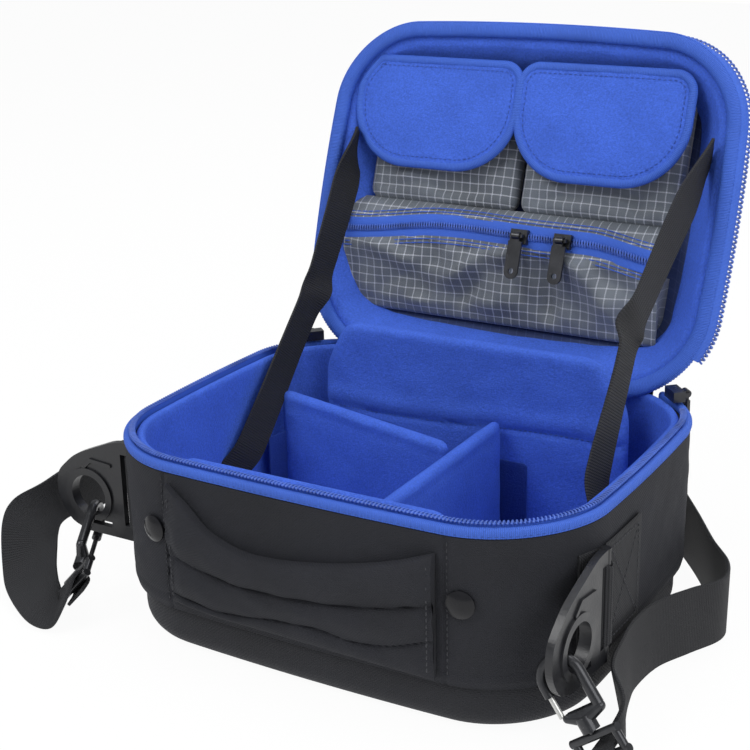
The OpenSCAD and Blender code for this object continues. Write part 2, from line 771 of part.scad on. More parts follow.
// What lies inside the lining
module in_dome() {
  on_lid() intersection() {
    hull() children();
    dome(lid_wall + soft_gap);
  }
}
module pocket(x) {
  rows = pocket_low_y - pocket_top_y;
  in_dome() {
    translate([x - pocket_w / 2, pocket_top_y + 4, ceiling_z - 1]) cube([pocket_w, rows - 4, 1]);
    translate([x - pocket_w / 2 + 4, pocket_top_y + 8, pocket_face_z]) cube([pocket_w - 8, rows - 10, 1]);
  }
}
module pocket_left() {
  color("#7c7f86") pocket(left_x);
}
module pocket_right() {
  color("#7c7f86") pocket(right_x);
}

patch = [40, 16, 1];
module pocket_loop(x) {
  on_lid() translate([x - patch.x / 2, -34, pocket_face_z - patch.z - 0.02]) cube(patch);
}
module pocket_loop_left() {
  color("#1a1b1e") pocket_loop(left_x);
}
module pocket_loop_right() {
  color("#1a1b1e") pocket_loop(right_x);
}

flap_z = pocket_face_z - 2 * patch.z - 0.3 - flap_t;
module flap(x) {
  w = pocket_w + 10;
  r = 20;
  on_lid() intersection() {
    translate([x, pocket_top_y, flap_z]) linear_extrude(flap_t) union() {
      translate([-w / 2, 0]) square([w, flap_l - r]);
      translate([-w / 2 + r, 0]) square([w - 2 * r, flap_l]);
      for (s = [-1, 1]) translate([s * (w / 2 - r), flap_l - r]) circle(r = r, $fn = 48);
    }
    slab(lid_inset + lid_bind_w + 5.8, lid_rim_z, lid_depth);
  }
}
module flap_left() {
  color("#2f62ea") flap(left_x);
}
module flap_right() {
  color("#2f62ea") flap(right_x);
}

module flap_hook(x) {
  on_lid() translate([x - patch.x / 2, -34, flap_z + flap_t + 0.02]) cube([patch.x, patch.y, patch.z]);
}
module flap_hook_left() {
  color("#1a1b1e") flap_hook(left_x);
}
module flap_hook_right() {
  color("#1a1b1e") flap_hook(right_x);
}

zip_y = 18;
zip_w = 10;
zip_face_z = hinge_z + 8;
zip_x = [-98, 82];
module zip_bag_bar(y, z, inset) {
  translate([zip_x[0] + inset, y, z]) cube([zip_x[1] - zip_x[0] - 2 * inset, 1, ceiling_z - z]);
}
module zip_pocket_top() {
  color("#7c7f86") in_dome() {
    zip_bag_bar(pocket_low_y + 2, ceiling_z - 12, 8);
    zip_bag_bar(zip_y - zip_w / 2 - 1.2, zip_face_z, 0);
  }
}
module zip_pocket_front() {
  color("#7c7f86") in_dome() {
    zip_bag_bar(zip_y + zip_w / 2 + 0.2, zip_face_z, 0);
    zip_bag_bar(panel_y - 8, hinge_z + 18, 0);
    zip_bag_bar(panel_y + 2, panel_top + 3.5, 4);
  }
}
module pocket_zip_tape() {
  color("#1b3fb0") on_lid() translate([zip_x[0], zip_y - zip_w / 2, zip_face_z])
    cube([zip_x[1] - zip_x[0], zip_w, 2]);
}
module pocket_zip_teeth() {
  color("#2a5fe0") on_lid() translate([zip_x[0] + 3, zip_y - 1.6, zip_face_z - 0.9])
    cube([zip_x[1] - zip_x[0] - 6, 3.2, 0.85]);
}

// Sliders ride over the teeth; each holds a bail, the wire loop that its puller hangs in
slider_l = 10;
slider_w = 8;
slider_h = 3.4;
bail_r = 0.9;
bail_w = 6.4;
bail_drop = 2.8;
// The bail stands out along -Z from the face it is on
module bail() {
  leg = 1.2;
  for (s = [-1, 1]) translate([s * bail_w / 2 - leg / 2, -bail_r, -bail_drop - bail_r])
    cube([leg, 2 * bail_r, bail_drop + bail_r + 0.4]);
  translate([0, 0, -bail_drop]) rotate([0, 90, 0]) cylinder(r = bail_r, h = bail_w, center = true, $fn = 32);
}
module slider_body() {
  difference() {
    translate([-slider_l / 2, -slider_w / 2, -slider_h]) cube([slider_l, slider_w, slider_h]);
    translate([-slider_l, -2, -1.3]) cube([2 * slider_l, 4, through + 1.3]);
  }
  translate([0, 0, -slider_h]) bail();
}
// The puller hangs along +Y from its pivot on the bail
module puller() {
  eye_r = 2.1;
  neck = bail_w - 2;
  plate_from = 3;
  t = 1.6;
  difference() {
    union() {
      rotate([0, 90, 0]) cylinder(r = eye_r, h = neck, center = true, $fn = 32);
      translate([-neck / 2, 0, -t / 2]) cube([neck, plate_from + 1, t]);
      translate([-puller_w / 2, plate_from, -t / 2])
        cube([puller_w, puller_l - puller_w / 2 - plate_from, t]);
      translate([0, puller_l - puller_w / 2, -t / 2]) cylinder(d = puller_w, h = t, $fn = 32);
    }
    rotate([0, 90, 0]) cylinder(r = bail_r + pin_gap, h = puller_w, center = true, $fn = 32);
    translate([0, puller_l - puller_w / 2 - 0.4, -t]) cylinder(d = 3.2, h = 2 * t, $fn = 24);
  }
}
slider_gap = 0.1;
pull_z = zip_face_z - slider_gap - slider_h - bail_drop;
slider_x = [6, 32];
module pocket_slider(i) {
  color("#1a1b1d") on_lid() translate([slider_x[i], zip_y, zip_face_z - slider_gap]) slider_body();
}
module pocket_slider_left() {
  pocket_slider(0);
}
module pocket_slider_right() {
  pocket_slider(1);
}
module pocket_puller(i) {
  color("#2e3033") on_lid() translate([slider_x[i], zip_y, pull_z]) puller();
}
module pocket_puller_left() {
  pocket_puller(0);
}
module pocket_puller_right() {
  pocket_puller(1);
}

// --- Main sliders, parked at the two ends of the rim's chain ---

park_angle = 43;
park_r = corner_r - tape_in - tape_t / 2;
function park(r) = bowed([body_w / 2 - corner_r + r * cos(park_angle),
  body_d / 2 - corner_r + r * sin(park_angle)], body_w, body_d);
main_h = 5.6;
main_l = 12;
main_w = 6.5;
main_out = 4.3;
main_z = rim_z + binding_h + 0.2;
module park_frame(side, r) {
  p = park(r);
  translate([side * p.x, p.y, main_z]) rotate([0, 0, side * park_angle + (side < 0 ? 180 : 0)]) children();
}
module main_slider(side) {
  color("#1a1b1d") park_frame(side, park_r) union() {
    translate([main_out - main_w, -main_l / 2, 0]) cube([main_w, main_l, main_h]);
    translate([main_out, 0, main_h / 2]) rotate([0, -90, 0]) rotate([0, 0, 90]) bail();
  }
}
module main_slider_left() {
  main_slider(-1);
}
module main_slider_right() {
  main_slider(1);
}
module main_puller(side) {
  color("#2e3033") park_frame(side, park_r) translate([main_out + bail_drop, 0, main_h / 2])
    rotate([0, 90, 0]) rotate([0, 0, -90]) puller();
}
module main_puller_left() {
  main_puller(-1);
}
module main_puller_right() {
  main_puller(1);
}

base_cover();
base_tray();
base_foam();
base_lining();
rim_binding();
rim_zip_tape();
rim_teeth();
floor_pad();
front_pad();
back_panel();
divider_long();
divider_long_tab();
divider_cross();
divider_cross_tab();
front_handle();
front_rivets();
ring_tab_left();
ring_tab_right();
strap_ring_left();
strap_ring_right();
swivel_eye_left();
swivel_eye_right();
snap_hook_left();
snap_hook_right();
hook_gate_left();
hook_gate_right();
strap_left();
strap_right();
strap_slide();
hinge_gusset();
stay_left();
stay_right();
lid_cover();
lid_foam();
lid_lining();
lid_binding();
lid_zip_tape();
lid_teeth();
pocket_left();
pocket_right();
pocket_loop_left();
pocket_loop_right();
flap_left();
flap_right();
flap_hook_left();
flap_hook_right();
zip_pocket_top();
zip_pocket_front();
pocket_zip_tape();
pocket_zip_teeth();
pocket_slider_left();
pocket_slider_right();
pocket_puller_left();
pocket_puller_right();
main_slider_left();
main_slider_right();
main_puller_left();
main_puller_right();
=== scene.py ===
"""Soft surfaces, finishes and studio for a padded clamshell bag, laid out as an add-on."""

import json
import math
from functools import partial

import bpy
import numpy as np
from bpy.props import FloatProperty, FloatVectorProperty, PointerProperty
from mathutils import Matrix


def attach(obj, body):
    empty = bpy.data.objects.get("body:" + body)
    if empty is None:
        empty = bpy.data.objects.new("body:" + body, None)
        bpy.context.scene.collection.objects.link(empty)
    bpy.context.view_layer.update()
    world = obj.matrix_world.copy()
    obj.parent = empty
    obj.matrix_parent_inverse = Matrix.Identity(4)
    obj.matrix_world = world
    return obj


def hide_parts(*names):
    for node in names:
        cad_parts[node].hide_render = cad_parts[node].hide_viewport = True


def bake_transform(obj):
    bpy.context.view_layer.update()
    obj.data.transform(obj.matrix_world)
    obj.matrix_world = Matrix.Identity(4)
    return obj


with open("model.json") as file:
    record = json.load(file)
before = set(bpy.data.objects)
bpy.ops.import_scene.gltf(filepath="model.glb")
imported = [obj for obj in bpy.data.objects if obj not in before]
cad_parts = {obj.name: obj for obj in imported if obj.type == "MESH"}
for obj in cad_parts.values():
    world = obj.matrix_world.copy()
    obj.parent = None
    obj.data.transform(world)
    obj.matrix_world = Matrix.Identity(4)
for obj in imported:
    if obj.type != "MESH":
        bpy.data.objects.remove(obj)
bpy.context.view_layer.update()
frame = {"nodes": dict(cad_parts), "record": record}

bl_info = {
    "name": "Padded clamshell bag",
    "version": (1, 0, 0),
    "blender": (4, 5, 0),
    "location": "View3D > Sidebar > Bag",
    "description": "Dresses a padded clamshell bag with fabric, webbing, zips and linings",
    "category": "Object",
}

# Sizes in millimetres, shared with the solids
HALF_W, HALF_D, CORNER, BULGE = 126.0, 102.0, 52.0, 4.4
FLAT_X, FLAT_Y = HALF_W - CORNER, HALF_D - CORNER
HINGE_Y, HINGE_Z = 88.5, 107.4
LID_ANGLE = math.radians(109.5)
LID_DEPTH, LID_INSET = 38.0, 7.0
# Levels of the lid's dome: the share of its depth, and how much further in than its foot each one lies
DOME = np.array([[0.0, 0.6], [0.16, 2.4], [0.27, 4.3], [0.45, 8.6], [0.64, 12.8], [0.85, 18.0],
                 [0.96, 24.0], [1.0, 31.0]])
# Lengths along the outline from the middle of the back: once round, to the middle of the front, and to the
# first end of the rim's binding and of the zip
OUTLINE = round(4 * (FLAT_X + FLAT_Y) + 2 * math.pi * CORNER, 1)
FRONT_MIDDLE = round(2 * (FLAT_X + FLAT_Y) + math.pi * CORNER, 1)
BINDING_END, ZIP_END = 101.2, 130.4


# --- Shapes as arrays ---

def points(*parts):
    """Coordinates that fit together in shape, stacked as points."""
    return np.stack(np.broadcast_arrays(*parts), -1)


def track(count, start=0.0, stop=1.0):
    """Points along the bag's outline seen from above, by length, anticlockwise from the middle of the back.

    The outline is a rectangle of corner centres plus a radius along a direction, so each point has a centre,
    a direction and its length along the outline. start and stop are shares of the whole length."""
    arc = math.pi / 2 * CORNER
    knots = np.cumsum([0, FLAT_X, arc, 2 * FLAT_Y, arc, 2 * FLAT_X, arc, 2 * FLAT_Y, arc, FLAT_X])
    turns = np.radians([90, 90, 180, 180, 270, 270, 360, 360, 450, 450])
    cx = np.array([0, -1, -1, -1, -1, 1, 1, 1, 1, 0]) * FLAT_X
    cy = np.array([1, 1, 1, -1, -1, -1, -1, 1, 1, 1]) * FLAT_Y
    closed = start == 0.0 and stop == 1.0
    length = np.linspace(start, stop, count, endpoint=not closed) * knots[-1]
    turn = np.interp(length, knots, turns)
    return {"x": np.interp(length, knots, cx), "y": np.interp(length, knots, cy), "nx": np.cos(turn),
            "ny": np.sin(turn), "length": length}


def track_past_rear(count, end):
    """Outline points round the front, between two ends at the same length off the middle of the back."""
    return track(count, end / OUTLINE, 1 - end / OUTLINE)


def track_at(lengths):
    """Outline points at given lengths, read between the points of a fine track."""
    way = track(4001, 0.0, 0.99999)
    turn = np.interp(lengths, way["length"], np.unwrap(np.arctan2(way["ny"], way["nx"])))
    x, y = (np.interp(lengths, way["length"], way[key]) for key in ("x", "y"))
    return {"x": x, "y": y, "nx": np.cos(turn), "ny": np.sin(turn), "length": lengths}


def bow(at, half, half_out):
    """Share by which a wall bows out at a place along it: 1 + bulge / half_out (1 - (at / half)^2)."""
    return 1 + BULGE / half_out * (1 - (at / half) ** 2)


def around(way, inset, z):
    """Points at an inset from the outline and a height, with the walls bowed.

    inset and z are arrays (outline points, profile points)."""
    inset, z = np.broadcast_arrays(np.asarray(inset, float), np.asarray(z, float))
    r = CORNER - inset
    x = way["x"][:, None] + r * way["nx"][:, None]
    y = way["y"][:, None] + r * way["ny"][:, None]
    half_w, half_d = HALF_W - inset, HALF_D - inset
    return points(x * bow(y, half_d, half_w), y * bow(x, half_w, half_d), z)


def wall_out(across, flat, flat_out):
    """Distance of an unbowed wall: its flat part, and past that the corner's circle."""
    past = np.clip(np.abs(across) - flat, 0, CORNER)
    return flat_out + np.sqrt(CORNER ** 2 - past ** 2)


def side_x(y):
    """Outer face of the side wall."""
    return wall_out(y, FLAT_Y, FLAT_X) * bow(y, HALF_D, HALF_W)


def front_y(x):
    """Outer face of the front wall."""
    return -wall_out(x, FLAT_X, FLAT_Y) * bow(x, HALF_W, HALF_D)


def opened(p):
    """Closed lid to open lid: a turn by the lid's angle about the hinge line."""
    y, z = p[..., 1] - HINGE_Y, p[..., 2] - HINGE_Z
    c, s = math.cos(LID_ANGLE), math.sin(LID_ANGLE)
    return points(p[..., 0], HINGE_Y + y * c + z * s, HINGE_Z - y * s + z * c)


def off_ceiling():
    """Direction square to the open lid's ceiling, out towards its edge."""
    return opened(np.array([0, 0, -1.0])) - opened(np.zeros(3))


def smooth(a, b, v):
    """0 before a, 1 after b, and a soft step between."""
    t = np.clip((v - a) / (b - a), 0, 1)
    return t * t * (3 - 2 * t)


def groove(v, at, width):
    """A soft valley of depth 1 at a place: exp(-((v - at) / width)^2)."""
    return np.exp(-((v - at) / width) ** 2)


def ripple(a, b, seed, scale=1.0):
    """Soft uneven relief in -1..1: a sum of fixed sines in turned directions, each shorter and lower."""
    total, weight = 0.0, 0.0
    for k in range(6):
        turn = seed * 1.7 + k * 2.399
        pitch = scale * 62.0 / (1.0 + 0.75 * k)
        part = 0.78 ** k
        run = a * math.cos(turn) + b * math.sin(turn)
        total = total + part * np.sin(2 * np.pi * run / pitch + seed * 3.1 + k)
        weight += part
    return total / weight * 1.6


def fold(a, b, p, q, width):
    """Relief of one fold: a ridge along the line from p to q that fades at its ends."""
    p, q = np.array(p, float), np.array(q, float)
    run = np.linalg.norm(q - p)
    d = (q - p) / run
    along = (a - p[0]) * d[0] + (b - p[1]) * d[1]
    off = -(a - p[0]) * d[1] + (b - p[1]) * d[0]
    ends = smooth(-width, width * 2, along) * (1 - smooth(run - 2 * width, run + width, along))
    return np.exp(-(off / width) ** 2) * ends


def rounded(w, h, radii, count=160):
    """Rounded rectangle about the origin, by angle and then by length.

    The radii go from the lower left corner, anticlockwise."""
    pts = []
    for k, (sx, sy) in enumerate(((-1, -1), (1, -1), (1, 1), (-1, 1))):
        r = radii[k]
        t = np.radians(np.linspace(180 + 90 * k, 270 + 90 * k, 24))
        pts.append(points(sx * (w / 2 - r) + r * np.cos(t), sy * (h / 2 - r) + r * np.sin(t)))
    return evenly(np.concatenate(pts), count)


def lengths_along(path):
    """Length from the start of a path to each of its points."""
    return np.concatenate([[0], np.cumsum(np.linalg.norm(np.diff(path, axis=0), axis=1))])


def at_lengths(where, run, values):
    """Values given at lengths along a path, read between them."""
    return np.stack([np.interp(where, run, column) for column in values.T], 1)


def evenly(path, count, closed=True):
    """The same path with its points at equal lengths."""
    if closed:
        path = np.concatenate([path, path[:1]])
    run = lengths_along(path)
    return at_lengths(np.linspace(0, run[-1], count, endpoint=not closed), run, path)


def soften(outline, rounds):
    """Rounds the corners of a closed outline by averaging each point with its neighbours."""
    for _ in range(rounds):
        outline = (outline + np.roll(outline, 1, 0) + np.roll(outline, -1, 0)) / 3
    return outline


def soften_path(path, rounds):
    """Rounds the bends of an open path and keeps its ends."""
    for _ in range(rounds):
        path = np.concatenate([path[:1], (path[:-2] + path[1:-1] + path[2:]) / 3, path[-1:]])
    return path


def curve_through(knots, steps):
    """Catmull-Rom curve through knots, from q to r between their neighbours p and s.

    0.5 (2q + (r - p) t + (2p - 5q + 4r - s) t^2 + (3q - p - 3r + s) t^3)."""
    k = np.asarray(knots, float)
    before, after = np.concatenate([k[:1], k[:-2]]), np.concatenate([k[2:], k[-1:]])
    p, q, r, s = (v[:, None] for v in (before, k[:-1], k[1:], after))
    t = (np.arange(steps) / steps).reshape((1, steps) + (1,) * (k.ndim - 1))
    out = 0.5 * (2 * q + (r - p) * t + (2 * p - 5 * q + 4 * r - s) * t ** 2
                 + (3 * q - p - 3 * r + s) * t ** 3)
    return np.concatenate([out.reshape((-1,) + k.shape[1:]), k[-1:]])


def normalised(v):
    """Vectors of length 1."""
    return v / np.maximum(np.linalg.norm(v, axis=-1, keepdims=True), 1e-9)


# --- Meshes ---

def piece_from(name, spots, corners, starts, places):
    """An object at the origin, from points in millimetres and the faces' corners, starts and cloth places."""
    mesh = bpy.data.meshes.new(name)
    mesh.vertices.add(len(spots))
    mesh.vertices.foreach_set("co", (spots * 0.001).astype(np.float32).ravel())
    mesh.loops.add(len(corners))
    mesh.loops.foreach_set("vertex_index", corners.astype(np.int32))
    mesh.polygons.add(len(starts))
    mesh.polygons.foreach_set("loop_start", starts.astype(np.int32))
    mesh.uv_layers.new(name="Cloth").uv.foreach_set("vector", (places * 0.001).astype(np.float32).ravel())
    mesh.update(calc_edges=True)
    mesh.polygons.foreach_set("use_smooth", np.ones(len(starts), bool))
    mesh.set_sharp_from_angle(angle=math.radians(50))
    mesh.validate()
    piece = bpy.data.objects.new(name, mesh)
    bpy.context.scene.collection.objects.link(piece)
    return piece


def skin(name, grid, around=False, uv=None):
    """Closed surface over a grid of points (rows, columns, 3), or over many such grids.

    Columns always join up. Rows join up if around is true, and are otherwise shut by a fan at each end. The
    UV map is length along the rows and along the columns, unless uv gives a place for each point."""
    grid = np.asarray(grid, float)
    if grid.ndim == 3:
        grid = grid[None]
    many, rows, cols = grid.shape[:3]
    r, c = np.meshgrid(np.arange(rows if around else rows - 1), np.arange(cols), indexing="ij")
    r2, c2 = (r + 1) % rows, (c + 1) % cols
    quads = points(r * cols + c, r * cols + c2, r2 * cols + c2, r2 * cols + c).reshape(-1, 4)
    if uv is None:
        along = np.linalg.norm(np.roll(grid, -1, 1) - grid, axis=-1).mean((0, 2))
        across = np.linalg.norm(np.roll(grid, -1, 2) - grid, axis=-1).mean((0, 1))
        place = points(np.cumsum([0, *along])[:, None], np.cumsum([0, *across])[None, :])
    else:
        place = np.concatenate([uv, uv[:1]])
        place = np.concatenate([place, place[:, :1]], 1)
    quad_uv = np.stack([place[r, c], place[r, c + 1], place[r + 1, c + 1], place[r + 1, c]], 2)
    quad_uv = quad_uv.reshape(-1, 4, 2)
    spots = grid.reshape(many, -1, 3)
    tris, tri_uv = np.zeros((0, 3), int), np.zeros((0, 3, 2))
    if not around:
        hub, last = rows * cols, rows - 1
        spots = np.concatenate([spots, grid[:, [0, last]].mean(2)], 1)
        c, c2 = np.arange(cols), (np.arange(cols) + 1) % cols
        tris = np.concatenate([points(c2, c, hub), points(last * cols + c, last * cols + c2, hub + 1)])
        mid = np.broadcast_to(place[:, :-1].mean(1)[:, None], place[:, :-1].shape)
        tri_uv = np.concatenate([np.stack([place[0, c + 1], place[0, c], mid[0]], 1),
                                 np.stack([place[last, c], place[last, c + 1], mid[last]], 1)])
    first = spots[0]
    fan = np.concatenate([quads[:, [0, 1, 2]], quads[:, [0, 2, 3]], tris])
    volume = np.einsum("ij,ij->", first[fan[:, 0]], np.cross(first[fan[:, 1]], first[fan[:, 2]]))
    if volume < 0:
        quads, quad_uv, tris, tri_uv = (v[:, ::-1] for v in (quads, quad_uv, tris, tri_uv))
    step = np.arange(many)[:, None, None] * len(first)
    quads, tris = (quads + step).reshape(-1, 4), (tris + step).reshape(-1, 3)
    places = np.concatenate([np.tile(v, (many, 1, 1)).reshape(-1, 2) for v in (quad_uv, tri_uv)])
    starts = np.concatenate([np.arange(len(quads)) * 4, quads.size + np.arange(len(tris)) * 3])
    corners = np.concatenate([quads.ravel(), tris.ravel()])
    return piece_from(name, spots.reshape(-1, 3), corners, starts, places)


def lap(name, way, profile, wave=None, closed=True, lid=False):
    """A profile of (inset, height) points carried along the outline.

    wave changes the profile by the length along the outline."""
    profile = np.asarray(profile, float)
    inset, z = profile[None, :, 0], profile[None, :, 1]
    if wave is not None:
        inset, z = wave(inset, z, way["length"][:, None])
    laid = around(way, inset, z)
    return skin(name, opened(laid) if lid else laid, around=closed)


def oval(inset_a, inset_b, z_a, z_b, count, power):
    """Soft-cornered loop between two insets and two heights: cos and sin raised to a power below 1."""
    t = np.arange(count) / count * 2 * np.pi
    x, y = (np.sign(v) * np.abs(v) ** power / 2 for v in (np.cos(t), np.sin(t)))
    return points((inset_a + inset_b) / 2 - x * abs(inset_b - inset_a), (z_a + z_b) / 2 + y * abs(z_b - z_a))


def board(name, outline, thick, place, front=None, back=None, edge=None, rings=14):
    """Padded board: its outline shrinks to a point over the front and the back, with a round edge between.

    place turns (across, up, out) into the bag's frame; front and back give a relief at (across, up)."""
    edge = thick / 2 if edge is None else edge
    centre = outline.mean(0)
    reach = np.linalg.norm(outline - centre, axis=1).min()
    face = np.linspace(0.02, 1 - edge / reach, rings)
    turn = np.linspace(0, np.pi / 2, 5)[1:]
    shrink = 1 - (edge / reach) * (1 - np.sin(turn))
    drop = thick / 2 - edge * (1 - np.cos(turn))
    scale = np.concatenate([face, shrink, shrink[::-1][1:], face[::-1]])
    half = np.concatenate([np.full(rings, thick / 2), drop, -drop[::-1][1:], np.full(rings, -thick / 2)])
    ab = centre + scale[:, None, None] * (outline - centre)
    a, b = ab[..., 0], ab[..., 1]
    out = half[:, None]
    share = np.clip(out / (thick / 2), -1, 1)
    if front is not None:
        out = out + np.maximum(share, 0) * front(a, b)
    if back is not None:
        out = out - np.maximum(-share, 0) * back(a, b)
    return skin(name, place(a, b, out), uv=ab)


def belt(name, edge_a, edge_b, thick, across):
    """Webbing between two edge lines: a flat thin section with blunt edges, carried along both."""
    run = np.gradient((edge_a + edge_b) / 2, axis=0)
    out = normalised(np.cross(run, edge_b - edge_a))
    f = np.linspace(0.015, 0.985, across)
    share = np.concatenate([f, [1.0], f[::-1], [0.0]])[:, None]
    lift = np.concatenate([np.full(across, thick / 2), [0.0], np.full(across, -thick / 2), [0.0]])[:, None]
    return skin(name, edge_a[:, None] + (edge_b - edge_a)[:, None] * share + out[:, None] * lift)


def tube(name, centre, radial, radius, sides=5):
    """Round wire along a line; radial gives a direction off the line at each point."""
    t = normalised(np.gradient(centre, axis=0))
    n = normalised(radial - t * np.sum(radial * t, -1, keepdims=True))
    b = np.cross(t, n)
    a = (np.arange(sides) / sides * 2 * np.pi)[:, None]
    return skin(name, centre[:, None] + radius * (np.cos(a) * n[:, None] + np.sin(a) * b[:, None]))


def coil(name, place, run, pitch, half_out, half_up, wire, samples=8):
    """Zip coil: a wire that winds an oval once each pitch.

    place turns (along, out, up) into the bag's frame."""
    turns = int(run / pitch)
    t = np.linspace(0, turns, turns * samples + 1)
    a = 2 * np.pi * t
    centre = place(t * pitch, np.cos(a) * half_out, np.sin(a) * half_up)
    hub = place(t * pitch, 0 * a, 0 * a)
    return tube(name, centre, centre - hub, wire)


def stitches(name, path, up, pitch=3.0, share=0.68, radius=0.32):
    """Thread shown between needle holes: small capsules along a path, half sunk into the cloth."""
    run = lengths_along(path)
    count = max(2, int(run[-1] / pitch))
    middle = (np.arange(count) + 0.5) * run[-1] / count
    at, near, past = (at_lengths(middle + step, run, path) for step in (0, 0.3, -0.3))
    t = normalised(near - past)
    u = at_lengths(middle, run, np.broadcast_to(np.asarray(up, float), path.shape))
    u = normalised(u - t * np.sum(u * t, -1, keepdims=True))
    w = np.cross(t, u)
    along = np.array([-0.5, -0.38, 0.0, 0.38, 0.5])[:, None, None] * pitch * share
    fat = np.array([0.35, 0.85, 1.0, 0.85, 0.35])[:, None, None] * radius
    dip = np.array([-0.8, -0.1, 0.35, -0.1, -0.8])[:, None, None] * radius
    a = (np.arange(6) / 6 * 2 * np.pi)[:, None]
    at, t, u, w = (v[:, None, None] for v in (at, t, u, w))
    return skin(name, at + along * t + dip * u + fat * (np.cos(a) * u + np.sin(a) * w))


# --- Finishes ---

def group(name, make, outputs, **inputs):
    """A shared effect, built once: a place and numbers go in, values come out; make fills it between them."""
    tree = bpy.data.node_groups.get(name)
    if tree is None:
        tree = bpy.data.node_groups.new(name, "ShaderNodeTree")
        tree.interface.new_socket("Place", in_out="INPUT", socket_type="NodeSocketVector")
        for label, default in inputs.items():
            socket = tree.interface.new_socket(label, in_out="INPUT", socket_type="NodeSocketFloat")
            socket.default_value = default
        for label in outputs:
            tree.interface.new_socket(label, in_out="OUTPUT", socket_type="NodeSocketFloat")
        make(tree, tree.nodes.new("NodeGroupInput").outputs, tree.nodes.new("NodeGroupOutput").inputs)
    return tree


def math_node(tree, operation, a, b=None, c=None):
    """One sum in a node tree; numbers are set and sockets are linked."""
    node = tree.nodes.new("ShaderNodeMath")
    node.operation = operation
    for k, value in enumerate((a, b, c)):
        if value is None:
            continue
        if isinstance(value, (int, float)):
            node.inputs[k].default_value = value
        else:
            tree.links.new(value, node.inputs[k])
    return node.outputs[0]


def weighed(tree, a, share_a, b, share_b):
    """Two values added by their shares."""
    return math_node(tree, "ADD", math_node(tree, "MULTIPLY", a, share_a),
                     math_node(tree, "MULTIPLY", b, share_b))


def noise(tree, vector, scale, detail=2.0, rough=0.5):
    """Noise value at a scale, which may be a socket."""
    node = tree.nodes.new("ShaderNodeTexNoise")
    node.inputs["Detail"].default_value = detail
    node.inputs["Roughness"].default_value = rough
    tree.links.new(vector, node.inputs["Vector"])
    if isinstance(scale, (int, float)):
        node.inputs["Scale"].default_value = scale
    else:
        tree.links.new(scale, node.inputs["Scale"])
    return node.outputs["Fac"]


def parts_of(tree, place):
    """A place's first two coordinates."""
    node = tree.nodes.new("ShaderNodeSeparateXYZ")
    tree.links.new(place, node.inputs[0])
    return node.outputs[0], node.outputs[1]


def weave_group():
    """Plain weave: round threads over and under each other on a grid of the thread's pitch."""
    def make(tree, given, result):
        calc = partial(math_node, tree)
        u, v = (calc("DIVIDE", part, given["Pitch"]) for part in parts_of(tree, given["Place"]))
        on_top = calc("MODULO", calc("ADD", calc("FLOOR", u), calc("FLOOR", v)), 2.0)
        on_top = calc("ABSOLUTE", on_top)
        warp, weft = (calc("ABSOLUTE", calc("SINE", calc("MULTIPLY", at, math.pi))) for at in (u, v))
        over_share = calc("ADD", calc("MULTIPLY", on_top, 0.6), 0.4)
        under_share = calc("SUBTRACT", 1.0, calc("MULTIPLY", on_top, 0.6))
        height = calc("MAXIMUM", calc("MULTIPLY", warp, over_share), calc("MULTIPLY", weft, under_share))
        tree.links.new(height, result["Height"])
    return group("Plain weave", make, ["Height"], Pitch=0.0006)


def pile_group():
    """Brushed pile: fine loops as height, and broad patches where the nap lies lighter or darker."""
    def make(tree, given, result):
        place, loops = given["Place"], given["Loops"]
        fine = noise(tree, place, loops, 3.0, 0.65)
        tufts = noise(tree, place, math_node(tree, "MULTIPLY", loops, 0.35), 1.0)
        tree.links.new(weighed(tree, fine, 0.65, tufts, 0.35), result["Height"])
        nap = noise(tree, place, 38.0, 3.0, 0.6)
        speck = noise(tree, place, math_node(tree, "MULTIPLY", loops, 0.6), 2.0)
        tree.links.new(weighed(tree, nap, 0.35, speck, 0.65), result["Tone"])
    return group("Brushed pile", make, ["Height", "Tone"], Loops=1500.0)


def grid_group():
    """Reinforcing threads of ripstop: thin lines both ways at a spacing, a little uneven."""
    def make(tree, given, result):
        calc = partial(math_node, tree)
        wander = calc("MULTIPLY", calc("SUBTRACT", noise(tree, given["Place"], 60.0), 0.5), 0.0006)
        lines = []
        for part in parts_of(tree, given["Place"]):
            cell = calc("FRACT", calc("DIVIDE", calc("ADD", part, wander), given["Spacing"]))
            lines.append(calc("LESS_THAN", calc("ABSOLUTE", calc("SUBTRACT", cell, 0.5)), given["Share"]))
        tree.links.new(calc("MAXIMUM", *lines), result["Line"])
        tree.links.new(calc("MINIMUM", *lines), result["Crossing"])
    return group("Ripstop grid", make, ["Line", "Crossing"], Spacing=0.005, Share=0.06)


def rib_group():
    """Ribs of webbing or tape: rounded bars across the run, each broken by a slanting thread."""
    def make(tree, given, result):
        calc = partial(math_node, tree)
        u, v = (calc("DIVIDE", part, given["Pitch"]) for part in parts_of(tree, given["Place"]))
        bar = calc("ABSOLUTE", calc("SINE", calc("MULTIPLY", u, math.pi)))
        slant = calc("SINE", calc("MULTIPLY", calc("ADD", u, v), math.pi * 2))
        tree.links.new(weighed(tree, bar, 0.75, slant, 0.2), result["Height"])
    return group("Woven ribs", make, ["Height"], Pitch=0.0012)


def wear_group():
    """Use and dust: broad uneven tone, and sparse pale lint specks."""
    def make(tree, given, result):
        tree.links.new(noise(tree, given["Place"], given["Patches"], 4.0, 0.6), result["Tone"])
        lint = noise(tree, given["Place"], 2600.0, 1.0)
        tree.links.new(math_node(tree, "GREATER_THAN", lint, given["Clean"]), result["Lint"])
    return group("Wear and lint", make, ["Tone", "Lint"], Patches=22.0, Clean=0.74)


